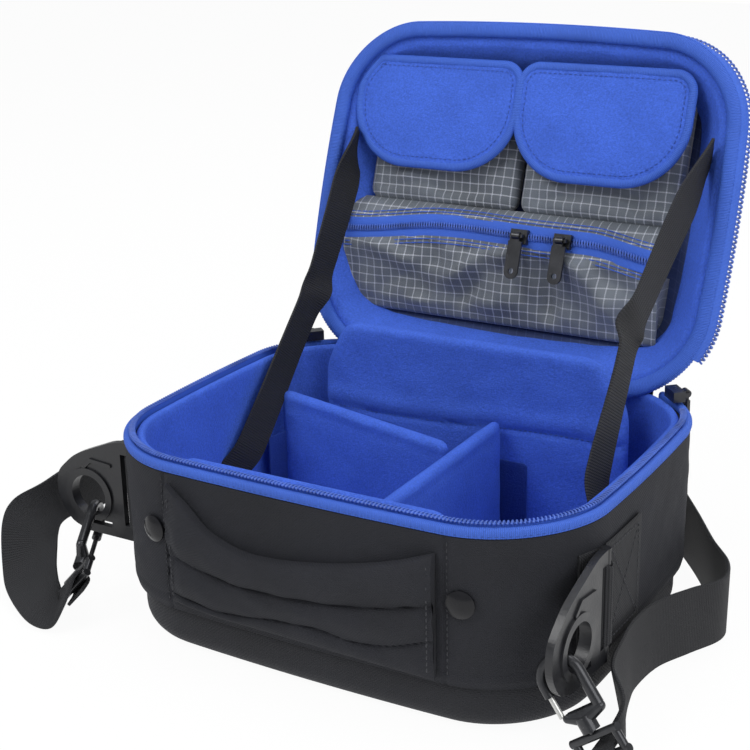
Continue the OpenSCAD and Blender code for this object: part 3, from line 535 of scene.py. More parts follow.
def start(name, rough, sheen=0.0, sheen_tint=(1, 1, 1), specular=0.5, metallic=0.0, coat=0.0):
    """A new material with a Principled shader whose uniform values stand on its own sockets."""
    mat = bpy.data.materials.new(name)
    mat.use_nodes = True
    shader = mat.node_tree.nodes["Principled BSDF"]
    shader.inputs["Roughness"].default_value = rough
    shader.inputs["Sheen Weight"].default_value = sheen
    shader.inputs["Sheen Roughness"].default_value = 0.45
    shader.inputs["Sheen Tint"].default_value = (*sheen_tint, 1)
    shader.inputs["Specular IOR Level"].default_value = specular
    shader.inputs["Metallic"].default_value = metallic
    shader.inputs["Coat Weight"].default_value = coat
    return mat, mat.node_tree, shader


def place_of(tree, kind):
    """Object coordinates or the cloth's own UV map, in metres."""
    node = tree.nodes.new("ShaderNodeTexCoord")
    return node.outputs[kind]


def use(tree, shared, place, **values):
    """A shared effect placed in a material with its own values."""
    node = tree.nodes.new("ShaderNodeGroup")
    node.node_tree = shared
    tree.links.new(place, node.inputs["Place"])
    for label, value in values.items():
        node.inputs[label].default_value = value
    return node.outputs


def two_tone(tree, mask, dark, light, low=0.3, high=0.7):
    """A colour between two, by a mask."""
    ramp = tree.nodes.new("ShaderNodeValToRGB")
    ramp.color_ramp.elements[0].position, ramp.color_ramp.elements[0].color = low, (*dark, 1)
    ramp.color_ramp.elements[1].position, ramp.color_ramp.elements[1].color = high, (*light, 1)
    tree.links.new(mask, ramp.inputs[0])
    return ramp.outputs[0]


def over(tree, mask, below, above):
    """One colour laid over another by a mask; a colour may be a socket or three numbers."""
    node = tree.nodes.new("ShaderNodeMix")
    node.data_type = "RGBA"
    tree.links.new(mask, node.inputs["Factor"])
    for label, value in (("A", below), ("B", above)):
        socket = [s for s in node.inputs if s.name == label and s.type == "RGBA"][0]
        if isinstance(value, tuple):
            socket.default_value = (*value, 1)
        else:
            tree.links.new(value, socket)
    return [s for s in node.outputs if s.type == "RGBA"][0]


def raise_bump(tree, shader, height, depth):
    """Bump from a height, in metres."""
    bump = tree.nodes.new("ShaderNodeBump")
    bump.inputs["Distance"].default_value = depth
    bump.inputs["Strength"].default_value = 1.0
    tree.links.new(height, bump.inputs["Height"])
    tree.links.new(bump.outputs[0], shader.inputs["Normal"])


def shade(colour, factor):
    """A colour made lighter or darker."""
    return tuple(min(1.0, c * factor) for c in colour)


def lifted(colour, factor, bright_factor=1.0):
    """A colour made lighter by a factor if it is dark, and otherwise by another."""
    return shade(colour, factor if max(colour) < 0.1 else bright_factor)


def spread(tree, tone, colour, contrast):
    """A colour that goes darker and lighter with a tone."""
    return two_tone(tree, tone, shade(colour, 1 - contrast), shade(colour, 1 + contrast))


def cloth(name, colour, pitch, rough=0.85, sheen=0.25, contrast=0.35):
    """Plain woven cloth with uneven tone and lint."""
    mat, tree, shader = start(name, rough, sheen, lifted(colour, 6))
    weave = use(tree, weave_group(), place_of(tree, "UV"), Pitch=pitch)
    wear = use(tree, wear_group(), place_of(tree, "Object"), Clean=0.76)
    base = spread(tree, weighed(tree, wear["Tone"], 0.7, weave["Height"], 0.3), colour, contrast)
    base = over(tree, wear["Lint"], base, lifted(colour, 4.0, 1.2))
    tree.links.new(base, shader.inputs["Base Color"])
    raise_bump(tree, shader, weave["Height"], 0.00025)
    return mat


def fleece(name, colour, loops=1500.0, sheen=0.5):
    """Soft brushed fleece."""
    mat, tree, shader = start(name, 0.95, sheen, shade(colour, 1.5), specular=0.2)
    pile = use(tree, pile_group(), place_of(tree, "Object"), Loops=loops)
    base = two_tone(tree, pile["Tone"], shade(colour, 0.8), shade(colour, 1.18), 0.34, 0.68)
    tree.links.new(base, shader.inputs["Base Color"])
    raise_bump(tree, shader, pile["Height"], 0.0011)
    return mat


def ripstop(name, colour, line, spacing, share, rough=0.5, sheen=0.1):
    """Coated ripstop: fine weave with a grid of thicker pale threads, which painted glint breaks into bright
    dots.
    """
    mat, tree, shader = start(name, rough, sheen)
    place = place_of(tree, "UV")
    weave = use(tree, weave_group(), place, Pitch=0.00045)
    lines = use(tree, grid_group(), place, Spacing=spacing, Share=share)
    wear = use(tree, wear_group(), place_of(tree, "Object"), Clean=0.9)
    base = two_tone(tree, wear["Tone"], shade(colour, 0.72), shade(colour, 1.25))
    # Painted glint: a coarser weave makes bright dots along the pale grid lines, standing in for sheen
    # speckles
    thick = use(tree, weave_group(), place, Pitch=0.001)
    painted_glint = math_node(tree, "MULTIPLY_ADD", thick["Height"], 0.75, 0.2)
    base = over(tree, math_node(tree, "MULTIPLY", lines["Line"], painted_glint), base, line)
    base = over(tree, lines["Crossing"], base, shade(line, 1.35))
    tree.links.new(base, shader.inputs["Base Color"])
    raise_bump(tree, shader, weighed(tree, weave["Height"], 0.35, lines["Line"], 1.0), 0.0003)
    return mat


def webbing(name, colour, pitch, rough=0.75, sheen=0.2, depth=0.0005, contrast=0.3):
    """Ribbed webbing or tape."""
    mat, tree, shader = start(name, rough, sheen, lifted(colour, 5))
    ribs = use(tree, rib_group(), place_of(tree, "UV"), Pitch=pitch)
    wear = use(tree, wear_group(), place_of(tree, "Object"), Clean=0.77)
    base = spread(tree, weighed(tree, wear["Tone"], 0.5, ribs["Height"], 0.5), colour, contrast)
    tree.links.new(over(tree, wear["Lint"], base, shade(colour, 2.5)), shader.inputs["Base Color"])
    raise_bump(tree, shader, ribs["Height"], depth)
    return mat


def moulded(name, colour, rough, depth=0.00006, metallic=0.0, worn=None, coat=0.0, specular=0.5):
    """Moulded plastic, foam or metal: fine grain, uneven gloss and, on metal, rubbed patches."""
    mat, tree, shader = start(name, rough, specular=specular, metallic=metallic, coat=coat)
    place = place_of(tree, "Object")
    grain = noise(tree, place, 900.0, 3.0)
    wear = use(tree, wear_group(), place, Patches=90.0, Clean=0.8)
    base = two_tone(tree, wear["Tone"], shade(colour, 0.75), shade(colour, 1.3))
    if worn is not None:
        rub = math_node(tree, "GREATER_THAN", noise(tree, place, 240.0, 6.0, 0.7), 0.63)
        base = over(tree, rub, base, worn)
    tree.links.new(base, shader.inputs["Base Color"])
    uneven = math_node(tree, "MULTIPLY", math_node(tree, "SUBTRACT", wear["Tone"], 0.5), 0.35)
    tree.links.new(math_node(tree, "ADD", uneven, rough), shader.inputs["Roughness"])
    raise_bump(tree, shader, grain, depth)
    return mat


def finish_of(key):
    """The material of a finish, made at its first use from the colours in the panel."""
    made = bpy.data.materials.get(key)
    if made is not None:
        return made
    colours = bpy.context.scene.bag_colours
    shell, blue, band, ceiling, pocket, web = (
        tuple(c) for c in (colours.shell, colours.fleece, colours.binding, colours.ceiling, colours.pocket,
                           colours.webbing))
    make, settings = {
        "shell cloth": (cloth, {"colour": shell, "pitch": 0.0008, "sheen": 0.12}),
        "tray cloth": (cloth, {"colour": shade(shell, 0.8), "pitch": 0.0009, "rough": 0.75}),
        "wall foam": (moulded, {"colour": (0.03, 0.03, 0.035), "rough": 0.9, "depth": 0.0004}),
        "blue fleece": (fleece, {"colour": blue}),
        "blue binding": (webbing, {"colour": band, "pitch": 0.0009, "rough": 0.7, "sheen": 0.35,
                                   "depth": 0.0003, "contrast": 0.18}),
        "blue tape": (webbing, {"colour": shade(band, 1.08), "pitch": 0.0007, "rough": 0.7, "depth": 0.0002,
                                "contrast": 0.2}),
        "blue teeth": (moulded, {"colour": (0.058, 0.125, 0.47), "rough": 0.5, "depth": 0.00002}),
        "blue thread": (cloth, {"colour": shade(band, 0.7), "pitch": 0.0003, "rough": 0.6, "contrast": 0.2}),
        "navy ripstop": (ripstop, {"colour": ceiling, "line": (0.045, 0.075, 0.21), "spacing": 0.0055,
                                   "share": 0.05, "rough": 0.6}),
        "grey ripstop": (ripstop, {"colour": pocket, "line": (0.4, 0.42, 0.47), "spacing": 0.0052,
                                   "share": 0.065, "rough": 0.4, "sheen": 0.25}),
        "black webbing": (webbing, {"colour": web, "pitch": 0.0011, "sheen": 0.05, "depth": 0.0003,
                                    "contrast": 0.15}),
        "black tape": (webbing, {"colour": shade(web, 1.2), "pitch": 0.0014, "sheen": 0.1}),
        "black thread": (cloth, {"colour": (0.035, 0.036, 0.042), "pitch": 0.0003, "rough": 0.55,
                                 "contrast": 0.2}),
        "navy hook tape": (fleece, {"colour": (0.022, 0.055, 0.28), "loops": 2600.0, "sheen": 0.15}),
        "black plastic": (moulded, {"colour": (0.013, 0.0135, 0.016), "rough": 0.36, "depth": 0.00008}),
        "gunmetal": (moulded, {"colour": (0.035, 0.036, 0.04), "rough": 0.33, "metallic": 0.7,
                               "worn": (0.08, 0.08, 0.085), "coat": 0.3}),
        "black gloss": (moulded, {"colour": (0.008, 0.008, 0.01), "rough": 0.24, "depth": 0.00002,
                                  "specular": 0.3}),
        "nickel": (moulded, {"colour": (0.55, 0.55, 0.54), "rough": 0.28, "metallic": 1.0,
                             "worn": (0.32, 0.32, 0.32)}),
    }[key]
    return make(key, **settings)


# Finishes of the slots that aren't called what their finish is called
SLOT_FINISH = {"shell_fabric": "shell cloth", "tray_fabric": "tray cloth", "foam": "wall foam",
               "hook_tape": "navy hook tape", "dark_metal": "gunmetal"}


def dress(piece, finish, body, nodes=()):
    """Gives a new piece its finish, its body and the solids that it stands for."""
    piece.data.materials.clear()
    piece.data.materials.append(finish_of(finish))
    if body is not None:
        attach(piece, body)
    if nodes:
        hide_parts(*nodes)
    return piece


# --- Panel settings ---

class BagSizes(bpy.types.PropertyGroup):
    """Sizes that a user would change."""
    relief: FloatProperty(name="Cloth relief", description="How much the shell's cloth waves", default=1.0,
                          min=0.0, max=2.0)
    stitch: FloatProperty(name="Stitch length", description="Length of one stitch with its gap",
                          default=0.003, min=0.002, max=0.006, subtype="DISTANCE", unit="LENGTH")
    lens: FloatProperty(name="Lens", description="Focal length of the camera in millimetres", default=72.98,
                        min=20.0, max=200.0)


class BagColours(bpy.types.PropertyGroup):
    """Colours that a user would change."""
    shell: FloatVectorProperty(name="Shell", description="Outer cloth", default=(0.0088, 0.0096, 0.0142),
                               subtype="COLOR", size=3, min=0, max=1)
    fleece: FloatVectorProperty(name="Fleece", description="Lining, pads and flaps",
                                default=(0.058, 0.138, 0.63), subtype="COLOR", size=3, min=0, max=1)
    binding: FloatVectorProperty(name="Binding", description="Rim, lid and pocket bindings",
                                 default=(0.036, 0.115, 0.55), subtype="COLOR", size=3, min=0, max=1)
    ceiling: FloatVectorProperty(name="Lid lining", description="Lining of the lid",
                                 default=(0.022, 0.042, 0.15), subtype="COLOR", size=3, min=0, max=1)
    pocket: FloatVectorProperty(name="Pockets", description="Coated cloth of the lid's pockets",
                                default=(0.119, 0.138, 0.163), subtype="COLOR", size=3, min=0, max=1)
    webbing: FloatVectorProperty(name="Webbing", description="Strap, stays and ring tabs",
                                 default=(0.0092, 0.0097, 0.0122), subtype="COLOR", size=3, min=0, max=1)


def panel_stitch():
    """Stitch length set in the panel, in millimetres."""
    return bpy.context.scene.bag_sizes.stitch * 1000


# --- Base ---

# Upright seams of the outer cloth: length along the outline, and depth
SEAMS = ((FRONT_MIDDLE - 76.0, 0.9), (FRONT_MIDDLE + 76.0, 0.9), (118.0, 0.7), (704.0, 0.7))
FRONT_SEAM_X = 77.2  # middle of the stitch row beside each front seam
HEM_Z = 25.1


def shell_relief(length, z):
    """Inward relief of the outer cloth: soft waves, a valley at each upright seam and a rolled lower hem."""
    size = bpy.context.scene.bag_sizes.relief
    wave = 0.45 * size * ripple(length, z * 1.6, 2.0) * smooth(25, 45, z) * (1 - smooth(88, 97, z))
    seams = sum(deep * groove(length, at, 0.9) for at, deep in SEAMS)
    hem = 1.1 * (1 - smooth(HEM_Z, 29.0, z)) + 0.35 * groove(z, 32.5, 0.8)
    return wave + seams + hem


def tray_grid():
    """Rings of the moulded tray: closed underside, round foot, lipped wall and inner floor."""
    way, thick, foot_inset, foot_r = track(420), 2.5, 4.7, 11
    arc = np.radians(np.linspace(90, 0, 9))
    foot = points(foot_inset + foot_r - foot_r * np.cos(arc), foot_r - foot_r * np.sin(arc))
    wall = np.array([[4.7, 15], [4.7, 20], [4.9, 23.5], [5.4, 24.7], [6.2, 25.0], [7.2, 24.6], [7.2, 16],
                     [8.4, 10.5], [12, 4.6], [18, 2.55]])
    rings = np.concatenate([foot, wall])
    side = around(way, rings[None, :, 0], rings[None, :, 1]).transpose(1, 0, 2)
    flat = around(way, np.array([[30.0, 44.0]]), 0.0).transpose(1, 0, 2)
    heart = flat[1:] * np.array([[[0.55, 0.55, 1]], [[0.12, 0.12, 1]]])
    floor = np.concatenate([flat, heart])
    return np.concatenate([floor[::-1], side, floor + np.array([0, 0, thick])])


class BAG_OT_shell(bpy.types.Operator):
    """Outer cloth of the base with its seams, and the moulded tray under it"""
    bl_idname = "bag.shell"
    bl_label = "Base shell"

    def execute(self, context):
        z_out = np.concatenate([np.linspace(HEM_Z, 34, 9), np.linspace(38, 92, 16), [95, 97.2, 98.2]])
        inner = np.array([[0.7, 98.5], [1.5, 98.0], [1.5, 70], [1.5, 30], [1.5, 25.3]])

        def wave(inset, z, length):
            rear = smooth(700, 712, length) + 1 - smooth(110, 122, length)
            z = z - 2.0 * rear * smooth(80, 98, z)
            return np.where(inset < 0.5, inset + shell_relief(length, z) * 0.8, inset), z
        cover = lap("base_cover_cloth", track(760), np.concatenate([points(0, z_out), inner]), wave)
        dress(cover, "shell cloth", "base", ["base_cover"])

        z = np.linspace(30, 96, 60)
        for k, x in enumerate((-FRONT_SEAM_X, FRONT_SEAM_X)):
            path = points(x, front_y(x) + 0.15, z)
            row = stitches("front_seam_stitches_%d" % k, path, (0, -1, 0), panel_stitch())
            dress(row, "black thread", "base")

        dress(skin("base_tray_shell", tray_grid()), "tray cloth", "base", ["base_tray"])
        return {"FINISHED"}


def lining_grid():
    """Rings of the base's fleece: underside, outer wall, rolled top, inner wall and floor."""
    bottom = [[44, 12.9], [30, 12.9], [12, 12.95], [8.9, 13.4]]
    wall_behind = [[8.3, z] for z in (15.5, 22, 40, 60, 80, 96, 98.9)]
    roll = [[6.6, 99.0], [5.6, 99.5], [5.4, 100.6], [6.2, 101.9], [7.8, 102.4], [9.4, 101.8], [10.0, 100.2]]
    wall = [[10.1, z] for z in (97.5, 94, 88, 80, 70, 60, 50, 40, 30, 21)]
    floor = [[10.9, 17.2], [13, 15.2], [16.5, 14.8], [30, 14.7], [44, 14.7]]
    hidden = len(bottom + wall_behind + roll)
    rings = np.array(bottom + wall_behind + roll + wall + floor)
    way = track(520)
    length, inset, z = way["length"][:, None], rings[None, :, 0], rings[None, :, 1]
    seen = (np.arange(len(rings)) >= hidden)[None, :] & (z > 16)
    grid = around(way, inset + np.where(seen, 0.35 * ripple(length, z, 5.0), 0), z).transpose(1, 0, 2)
    shrink = np.array([[[0.5, 0.5, 1]], [[0.1, 0.1, 1]]])
    return np.concatenate([(grid[:1] * shrink)[::-1], grid, grid[-1:] * shrink])


def panel_seam(a):
    """Height of the seam across the back panel."""
    return 77 + 3 * np.sin(a / 40)


class BAG_OT_lining(bpy.types.Operator):
    """Fleece lining of the base with its floor, its front pad and its tall back panel"""
    bl_idname = "bag.lining"
    bl_label = "Base lining"

    def execute(self, context):
        lining = skin("base_lining_fleece", lining_grid())
        dress(lining, "blue fleece", "base", ["base_lining"])

        def pad_place(a, b, c):
            return points(a, -91.1 + c - 2.2 * smooth(36, 43, b), 59.05 + b)
        pad = board("front_pad_fleece", rounded(148, 87.9, (5, 5, 9, 9)), 5.8, pad_place,
                    front=lambda a, b: 0.25 * ripple(a, b, 3.0) - 0.7 * groove(b, 34.5, 1.2))
        dress(pad, "blue fleece", "base", ["front_pad"])

        half, thick = 92, 7.6
        edge = np.array([[-half, 15.1], [half, 15.1], [half, 98.0], [80.5, 121], [76, 125], [-76, 125],
                         [-80.5, 121], [-half, 98.0]])
        sides = [np.linspace(p, q, 12, endpoint=False) for p, q in zip(edge, np.roll(edge, -1, 0))]
        outline = soften(evenly(np.concatenate(sides), 200), 6)

        def panel_place(a, b, c):
            bent = 1.2 * np.sin(np.pi * np.clip((a + half) / (2 * half), 0, 1))
            return points(a, 70 - c - bent * 0.6, b)

        def panel_front(a, b):
            seam = groove(b, panel_seam(a), 1.4) * smooth(20, 30, b)
            ridge = 1.3 * groove(b, panel_seam(a) + 7, 4.5)
            return 0.5 * ripple(a, b, 7.0) - 1.5 * seam + ridge - groove(np.abs(a), 86, 1.6) * (b < 99)
        panel = board("back_panel_fleece", outline, thick, panel_place, front=panel_front,
                      back=lambda a, b: 0.3 * ripple(a, b, 8.0), rings=22)
        dress(panel, "blue fleece", "base", ["back_panel"])
        a = np.linspace(-84, 84, 120)
        row = stitches("back_panel_stitches", panel_place(a, panel_seam(a), thick / 2 - 1.0), (0, -1, 0))
        dress(row, "blue thread", "base")
        return {"FINISHED"}


class BAG_OT_rim(bpy.types.Operator):
    """Binding, zip tape and zip coil along the base's rim"""
    bl_idname = "bag.rim"
    bl_label = "Base rim"

    def execute(self, context):
        stitch_z = 99.9

        def ribs(inset, z, length):
            out = (inset < 1.2) & (z < 103)
            pulled = np.where(out, 0.5 * groove(z, stitch_z, 0.5), 0)
            return inset + pulled + 0.09 * np.sin(2 * np.pi * length / 1.9), z
        binding = lap("rim_binding_cloth", track_past_rear(1500, BINDING_END),
                      oval(-0.8, 3.4, 98.4, 103.3, 16, 0.7), ribs, closed=False)
        dress(binding, "blue binding", "base", ["rim_binding"])
        thread = track_past_rear(900, 104)
        row = stitches("rim_stitches", around(thread, -0.35, np.array([[stitch_z]]))[:, 0],
                       points(thread["nx"], thread["ny"], 0), panel_stitch(), radius=0.28)
        dress(row, "blue thread", "base")

        tape = lap("rim_tape_cloth", track_past_rear(700, ZIP_END), oval(3.5, 4.4, 98.7, 104.2, 12, 0.5),
                   closed=False)
        dress(tape, "blue tape", "base", ["rim_zip_tape"])

        def at(along, out, up):
            return around(track_at(ZIP_END + along), (3.7 - out)[:, None], (104.7 + up)[:, None])[:, 0]
        teeth = coil("rim_coil", at, OUTLINE - 2 * ZIP_END, 1.9, 1.4, 0.6, 0.45, 7)
        dress(teeth, "blue teeth", "base", ["rim_teeth"])
        return {"FINISHED"}


DIVIDER_H, DIVIDER_T, DIVIDER_Z = 69.3, 7.8, 49.75
CROSS_END, CROSS_TURN = (20 - HALF_W, 50.0), math.radians(-14)


def cross_line(along, off, z):
    """Points along and off the slanted line of the cross divider, from its end at the wall."""
    c, s = math.cos(CROSS_TURN), math.sin(CROSS_TURN)
    return points(CROSS_END[0] + along * c - off * s, CROSS_END[1] + along * s + off * c, z)


class BAG_OT_dividers(bpy.types.Operator):
    """Two fleece dividers and their hook tape tabs"""
    bl_idname = "bag.dividers"
    bl_label = "Dividers"

    def execute(self, context):
        def relief(seed, half):
            def wave(a, b):
                hem = groove(b, 27.5, 1.3) + groove(np.abs(a), half - 6.5, 1.3) * (b < 28)
                return 0.4 * ripple(a, b, seed) - 0.9 * hem
            return wave

        def long_place(a, b, c):
            return points(19.5 - c, -11.85 + a, DIVIDER_Z + b)

        def long_tab(a, b, c):
            return points(26.2 + a, 65 - c, 42 + b)

        def cross_place(a, b, c):
            return cross_line(a + 58.2, -c, DIVIDER_Z + b)

        def cross_tab(a, b, c):
            return cross_line(-0.7 + c, -6.5 + a, 42.1 + b)

        for name, long, place, tab_place, seeds, half in (
                ("divider_long", 151.7, long_place, long_tab, (1.0, 2.0), 75),
                ("divider_cross", 126.0, cross_place, cross_tab, (4.0, 6.0), 60)):
            piece = board(name + "_fleece", rounded(long, DIVIDER_H, (3, 3, 5, 5)), DIVIDER_T, place,
                          *(relief(seed, half) for seed in seeds))
            dress(piece, "blue fleece", name, [name])
            tab = board(name + "_tab_cloth", rounded(20.6, 37.6, (2, 2, 2, 2), 90), 1.1, tab_place, edge=0.5)
            dress(tab, "navy hook tape", name, [name + "_tab"])
        return {"FINISHED"}


HANDLE_HALF = 72.5
# Places across the front and heights there, of the handle's top, its two creases and its lower edge
HANDLE_LINES = (
    ((-HANDLE_HALF, -60, -50, -40, -28, -14, 0, 18, 36, 54, HANDLE_HALF),
     (94.6, 85, 76, 71.5, 68.6, 68.6, 70.2, 73.3, 77.6, 83.2, 90.6)),
    ((-HANDLE_HALF, -60, -32, 13, 45, HANDLE_HALF), (57.5, 55.2, 51.2, 53.5, 58.5, 66.0)),
    ((-HANDLE_HALF, -42, -18, 8, 40, HANDLE_HALF), (36.5, 34.0, 37.0, 39.4, 38.2, 48.0)),
    ((-HANDLE_HALF, -40, 0, 40, HANDLE_HALF), (31.5, 30.2, 29.6, 28.6, 27.6)))
ROLLS = ((1.6, 2.6), (2.2, 4.4), (2.8, 5.6))  # depth at the creases and plumpness, from the lowest roll up


def handle_line(k, x):
    """Height of one of the handle's lines at each place across the front."""
    line = curve_through(np.array(HANDLE_LINES[k], float).T, 8)
    return np.interp(x, line[:, 0], line[:, 1])


class BAG_OT_handle(bpy.types.Operator):
    """Padded front handle: an upper roll, a middle roll and a flatter lower one, with sewn creases between"""
    bl_idname = "bag.handle"
    bl_label = "Front handle"

    def execute(self, context):
        x = np.linspace(-72.3, 72.3, 210)[:, None]
        u = x / HANDLE_HALF
        top, upper, lower, low = (handle_line(k, x) for k in range(4))
        t, front_share = (np.arange(84) / 84)[None, :], 0.76
        face = t < front_share
        v = np.where(face, t / front_share, 1 - (t - front_share) / (1 - front_share))
        seams = [0 * x, (lower - low) / (top - low), (upper - low) / (top - low), 1 + 0 * x]
        ends = smooth(0, 0.14, 1 - np.abs(u))
        deep = 0.0
        for k, (at_crease, plump) in enumerate(ROLLS):
            share = np.clip((v - seams[k]) / (seams[k + 1] - seams[k]), 0, 1)
            here = (v >= seams[k]) & (v <= seams[k + 1])
            crease = 1 + 0.16 * ripple(x * 0.8, v * 60, 9.0 + k)
            puff = at_crease + plump * (0.35 + 0.65 * ends) * crease * np.sqrt(np.sin(np.pi * share))
            deep = np.where(here, puff, deep)
        gather = 0.5 * np.sin(2 * np.pi * (v * 5.3 + 0.4 * np.sin(4 * u))) * (1 - ends) * np.sin(np.pi * v)
        by_crease = groove(v, seams[2], 0.07) + groove(v, seams[1], 0.07)
        tucks = 0.45 * np.sin(x / 4.1 + 5 * v) * by_crease * ends
        out = 0.7 + np.where(face, deep + gather + tucks, 0.2)
        handle = skin("front_handle_pad", points(x, front_y(x) - out, low + (top - low) * v))
        dress(handle, "shell cloth", "front_handle", ["front_handle"])
        for k, x in enumerate((-70.0, 70.0)):
            low, top = handle_line(3, x) + 1, handle_line(0, x) - 1
            path = points(x, front_y(x) - 5.4, low + (top - low) * np.linspace(0.06, 0.94, 60))
            row = stitches("handle_end_stitches_%d" % k, path, (0, -1, 0))
            dress(row, "black thread", "front_handle")
        return {"FINISHED"}


# --- Webbing ---

RING_Y, BAR_X = -60.0, 132.585
BAND, BAND_T = 38.0, 1.8
# Each hook's line at its eye, from one point to another, and the turn of the band's end about it
LEFT_HOOK = ((-BAR_X - 29.2, -59.6, 36.1), (-BAR_X - 13.615, -94.6, 20.6), 218.6)
RIGHT_HOOK = ((BAR_X - 3.185, -98.9, 40.8), (BAR_X + 17.115, -102.8, 15.5), 2)
SLIDE_AT, SLIDE_TURN = (95.6, 127.2), math.radians(-52)
# The band's rows: places (along, out) round an eye and through the slide, and edge points on the way between
EYE_WRAP = [(12, 2.2), (5, 3.7), (2.37, 2.63), (1.3, 0)]
SLIDE_WRAP = [(0.4, 3), (2.8, 3), (6, 0), (9.2, -3), (15, -3)]
LEFT_ROWS = [
    [[-152, -102, 11], [-139, -115, 15]], [[-156, -97, 14], [-146, -119, 3]],
    [[-160, -94, 17], [-161, -119, 3]], [[-166, -88, 21], [-187, -105, 6]],
    [[-172, -80, 26], [-197, -97, 16]], [[-180, -70, 28], [-201, -90, 38]],
    [[-188, -58, 28], [-203, -78, 47]], [[-194, -42, 25], [-200, -58, 50]],
    [[-196, -24, 20], [-194, -32, 56]], [[-194, 0, 21], [-186, 0, 58]],
    [[-189, 40, 12], [-183, 40, 49]], [[-172, 90, 2], [-169, 89, 40]],
    [[-132, 138, 1], [-131, 137, 39]], [[-72, 172, 1], [-72, 171, 39]],
    [[-5, 182, 1], [-5, 181, 39]], [[55, 165, 1], [54, 164, 39]]]
RIGHT_ROWS = [
    [[124, 96, 1], [123, 95, 38.5]], [[141, 70, 1], [140, 68, 38.5]],
    [[154, 50, 1], [155, 47, 38.5]], [[157, 34, 1], [159, 28, 38.5]],
    [[148, 14, 1], [149, 11, 38.5]], [[139, -6, 1], [139, -9, 38.5]],
    [[136.5, -28, 1], [136, -30, 38.5]], [[138.5, -42, 1], [137, -48, 37]],
    [[143, -58, 1.5], [139.5, -66, 33]], [[150, -76, 4], [152, -84, 27]]]


def eye_row(p, q, turn, along, out, width=16.4):
    """Row of the band at a swivel eye, from its place down the hook's line and out from it."""
    p, q = np.array(p, float), np.array(q, float)
    v = p - q
    s, l = math.atan2(v[1], v[0]), math.atan2(math.hypot(v[0], v[1]), v[2])
    a = math.radians(turn)
    e = (math.cos(a) * np.array([math.cos(s) * math.cos(l), math.sin(s) * math.cos(l), -math.sin(l)])
         + math.sin(a) * np.array([-math.sin(s), math.cos(s), 0]))
    d = normalised(q - p)
    c = q + d * along + np.cross(e, d) * out
    return [c - e * width / 2, c + e * width / 2]


def slide_row(along, out):
    """Row of the band beside the slide."""
    c, s = math.cos(SLIDE_TURN), math.sin(SLIDE_TURN)
    x, y = SLIDE_AT[0] + along * c - out * s, SLIDE_AT[1] + along * s + out * c
    return [[x, y, 2], [x, y, 2 + BAND]]


def strap_rows():
    """Edge rows of the two lengths of strap, each from its eye to the slide or back."""
    left = [eye_row(*LEFT_HOOK, *r) for r in EYE_WRAP + [(2.37, -2.63), (5, -3.7), (8, -4.3)]]
    left += LEFT_ROWS + [slide_row(-along, -out) for along, out in SLIDE_WRAP[::-1]]
    right = [slide_row(along, -out) for along, out in SLIDE_WRAP]
    right += RIGHT_ROWS + [eye_row(*RIGHT_HOOK, *r) for r in [(0.6, -6.5)] + EYE_WRAP[::-1]]
    return np.array(left, float), np.array(right, float)


class BAG_OT_strap(bpy.types.Operator):
    """The shoulder strap in its two lengths, with the sewn end at each eye"""
    bl_idname = "bag.strap"
    bl_label = "Shoulder strap"

    def execute(self, context):
        left, right = strap_rows()
        ends = (("strap_left", left, "strap_end_left", (-0.184, 0.040, 0.03), (-0.160, -0.090, 0.02)),
                ("strap_right", right, "strap_end_right", (0.145, -0.055, 0.02), (0.150, -0.098, 0.02)))
        for node, rows, body, start_at, end_at in ends:
            edges = curve_through(rows, 9)
            band = belt(node + "_webbing", edges[:, 0], edges[:, 1], BAND_T, across=14)
            dress(band, "black webbing", None, [node])
            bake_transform(band)
            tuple(start_at)
            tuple(end_at)
        return {"FINISHED"}


class BAG_OT_ring_tabs(bpy.types.Operator):
    """Webbing tabs that hold the ring plates, with box and cross stitching"""
    bl_idname = "bag.ring_tabs"
    bl_label = "Ring tabs"

    def execute(self, context):
        y = np.linspace(-15.5, -55.0, 26)
        patch = points(side_x(y) + 1.0 + 0.25 * smooth(-15, -20, y), y)
        a = np.radians(np.linspace(95, -175, 26))
        loop = points(BAR_X + 3.15 * np.cos(a), RING_Y + 3.15 * np.sin(a))
        y = np.linspace(-63.0, -71.5, 8)
        tail = points(side_x(y) + 1.0, y)
        plan = soften_path(evenly(np.concatenate([patch, loop, tail]), 150, closed=False), 4)
        x, y = plan.T
        on_loop = groove(y, RING_Y, 6.0) * smooth(1.8, 3.5, x - side_x(y))
        box = np.array([[-19, 36], [-51, 36], [-51, 82], [-19, 82], [-19, 36], [-51, 82], [-51, 36],
                        [-19, 82]])
        box_y, box_z = evenly(box, 260, closed=False).T
        for side, name in ((-1, "left"), (1, "right")):
            low, high = (points(side * x, y, z) for z in (32.3 + 7.4 * on_loop, 85.7 - 7.4 * on_loop))
            tab = belt("ring_tab_%s_webbing" % name, low, high, 1.3, across=16)
            dress(tab, "black tape", "base", ["ring_tab_" + name])
            path = points(side * (side_x(box_y) + 2.0), box_y, box_z)
            row = stitches("ring_tab_%s_stitches" % name, path, (side, 0, 0), panel_stitch())
            dress(row, "black thread", "base")
        return {"FINISHED"}


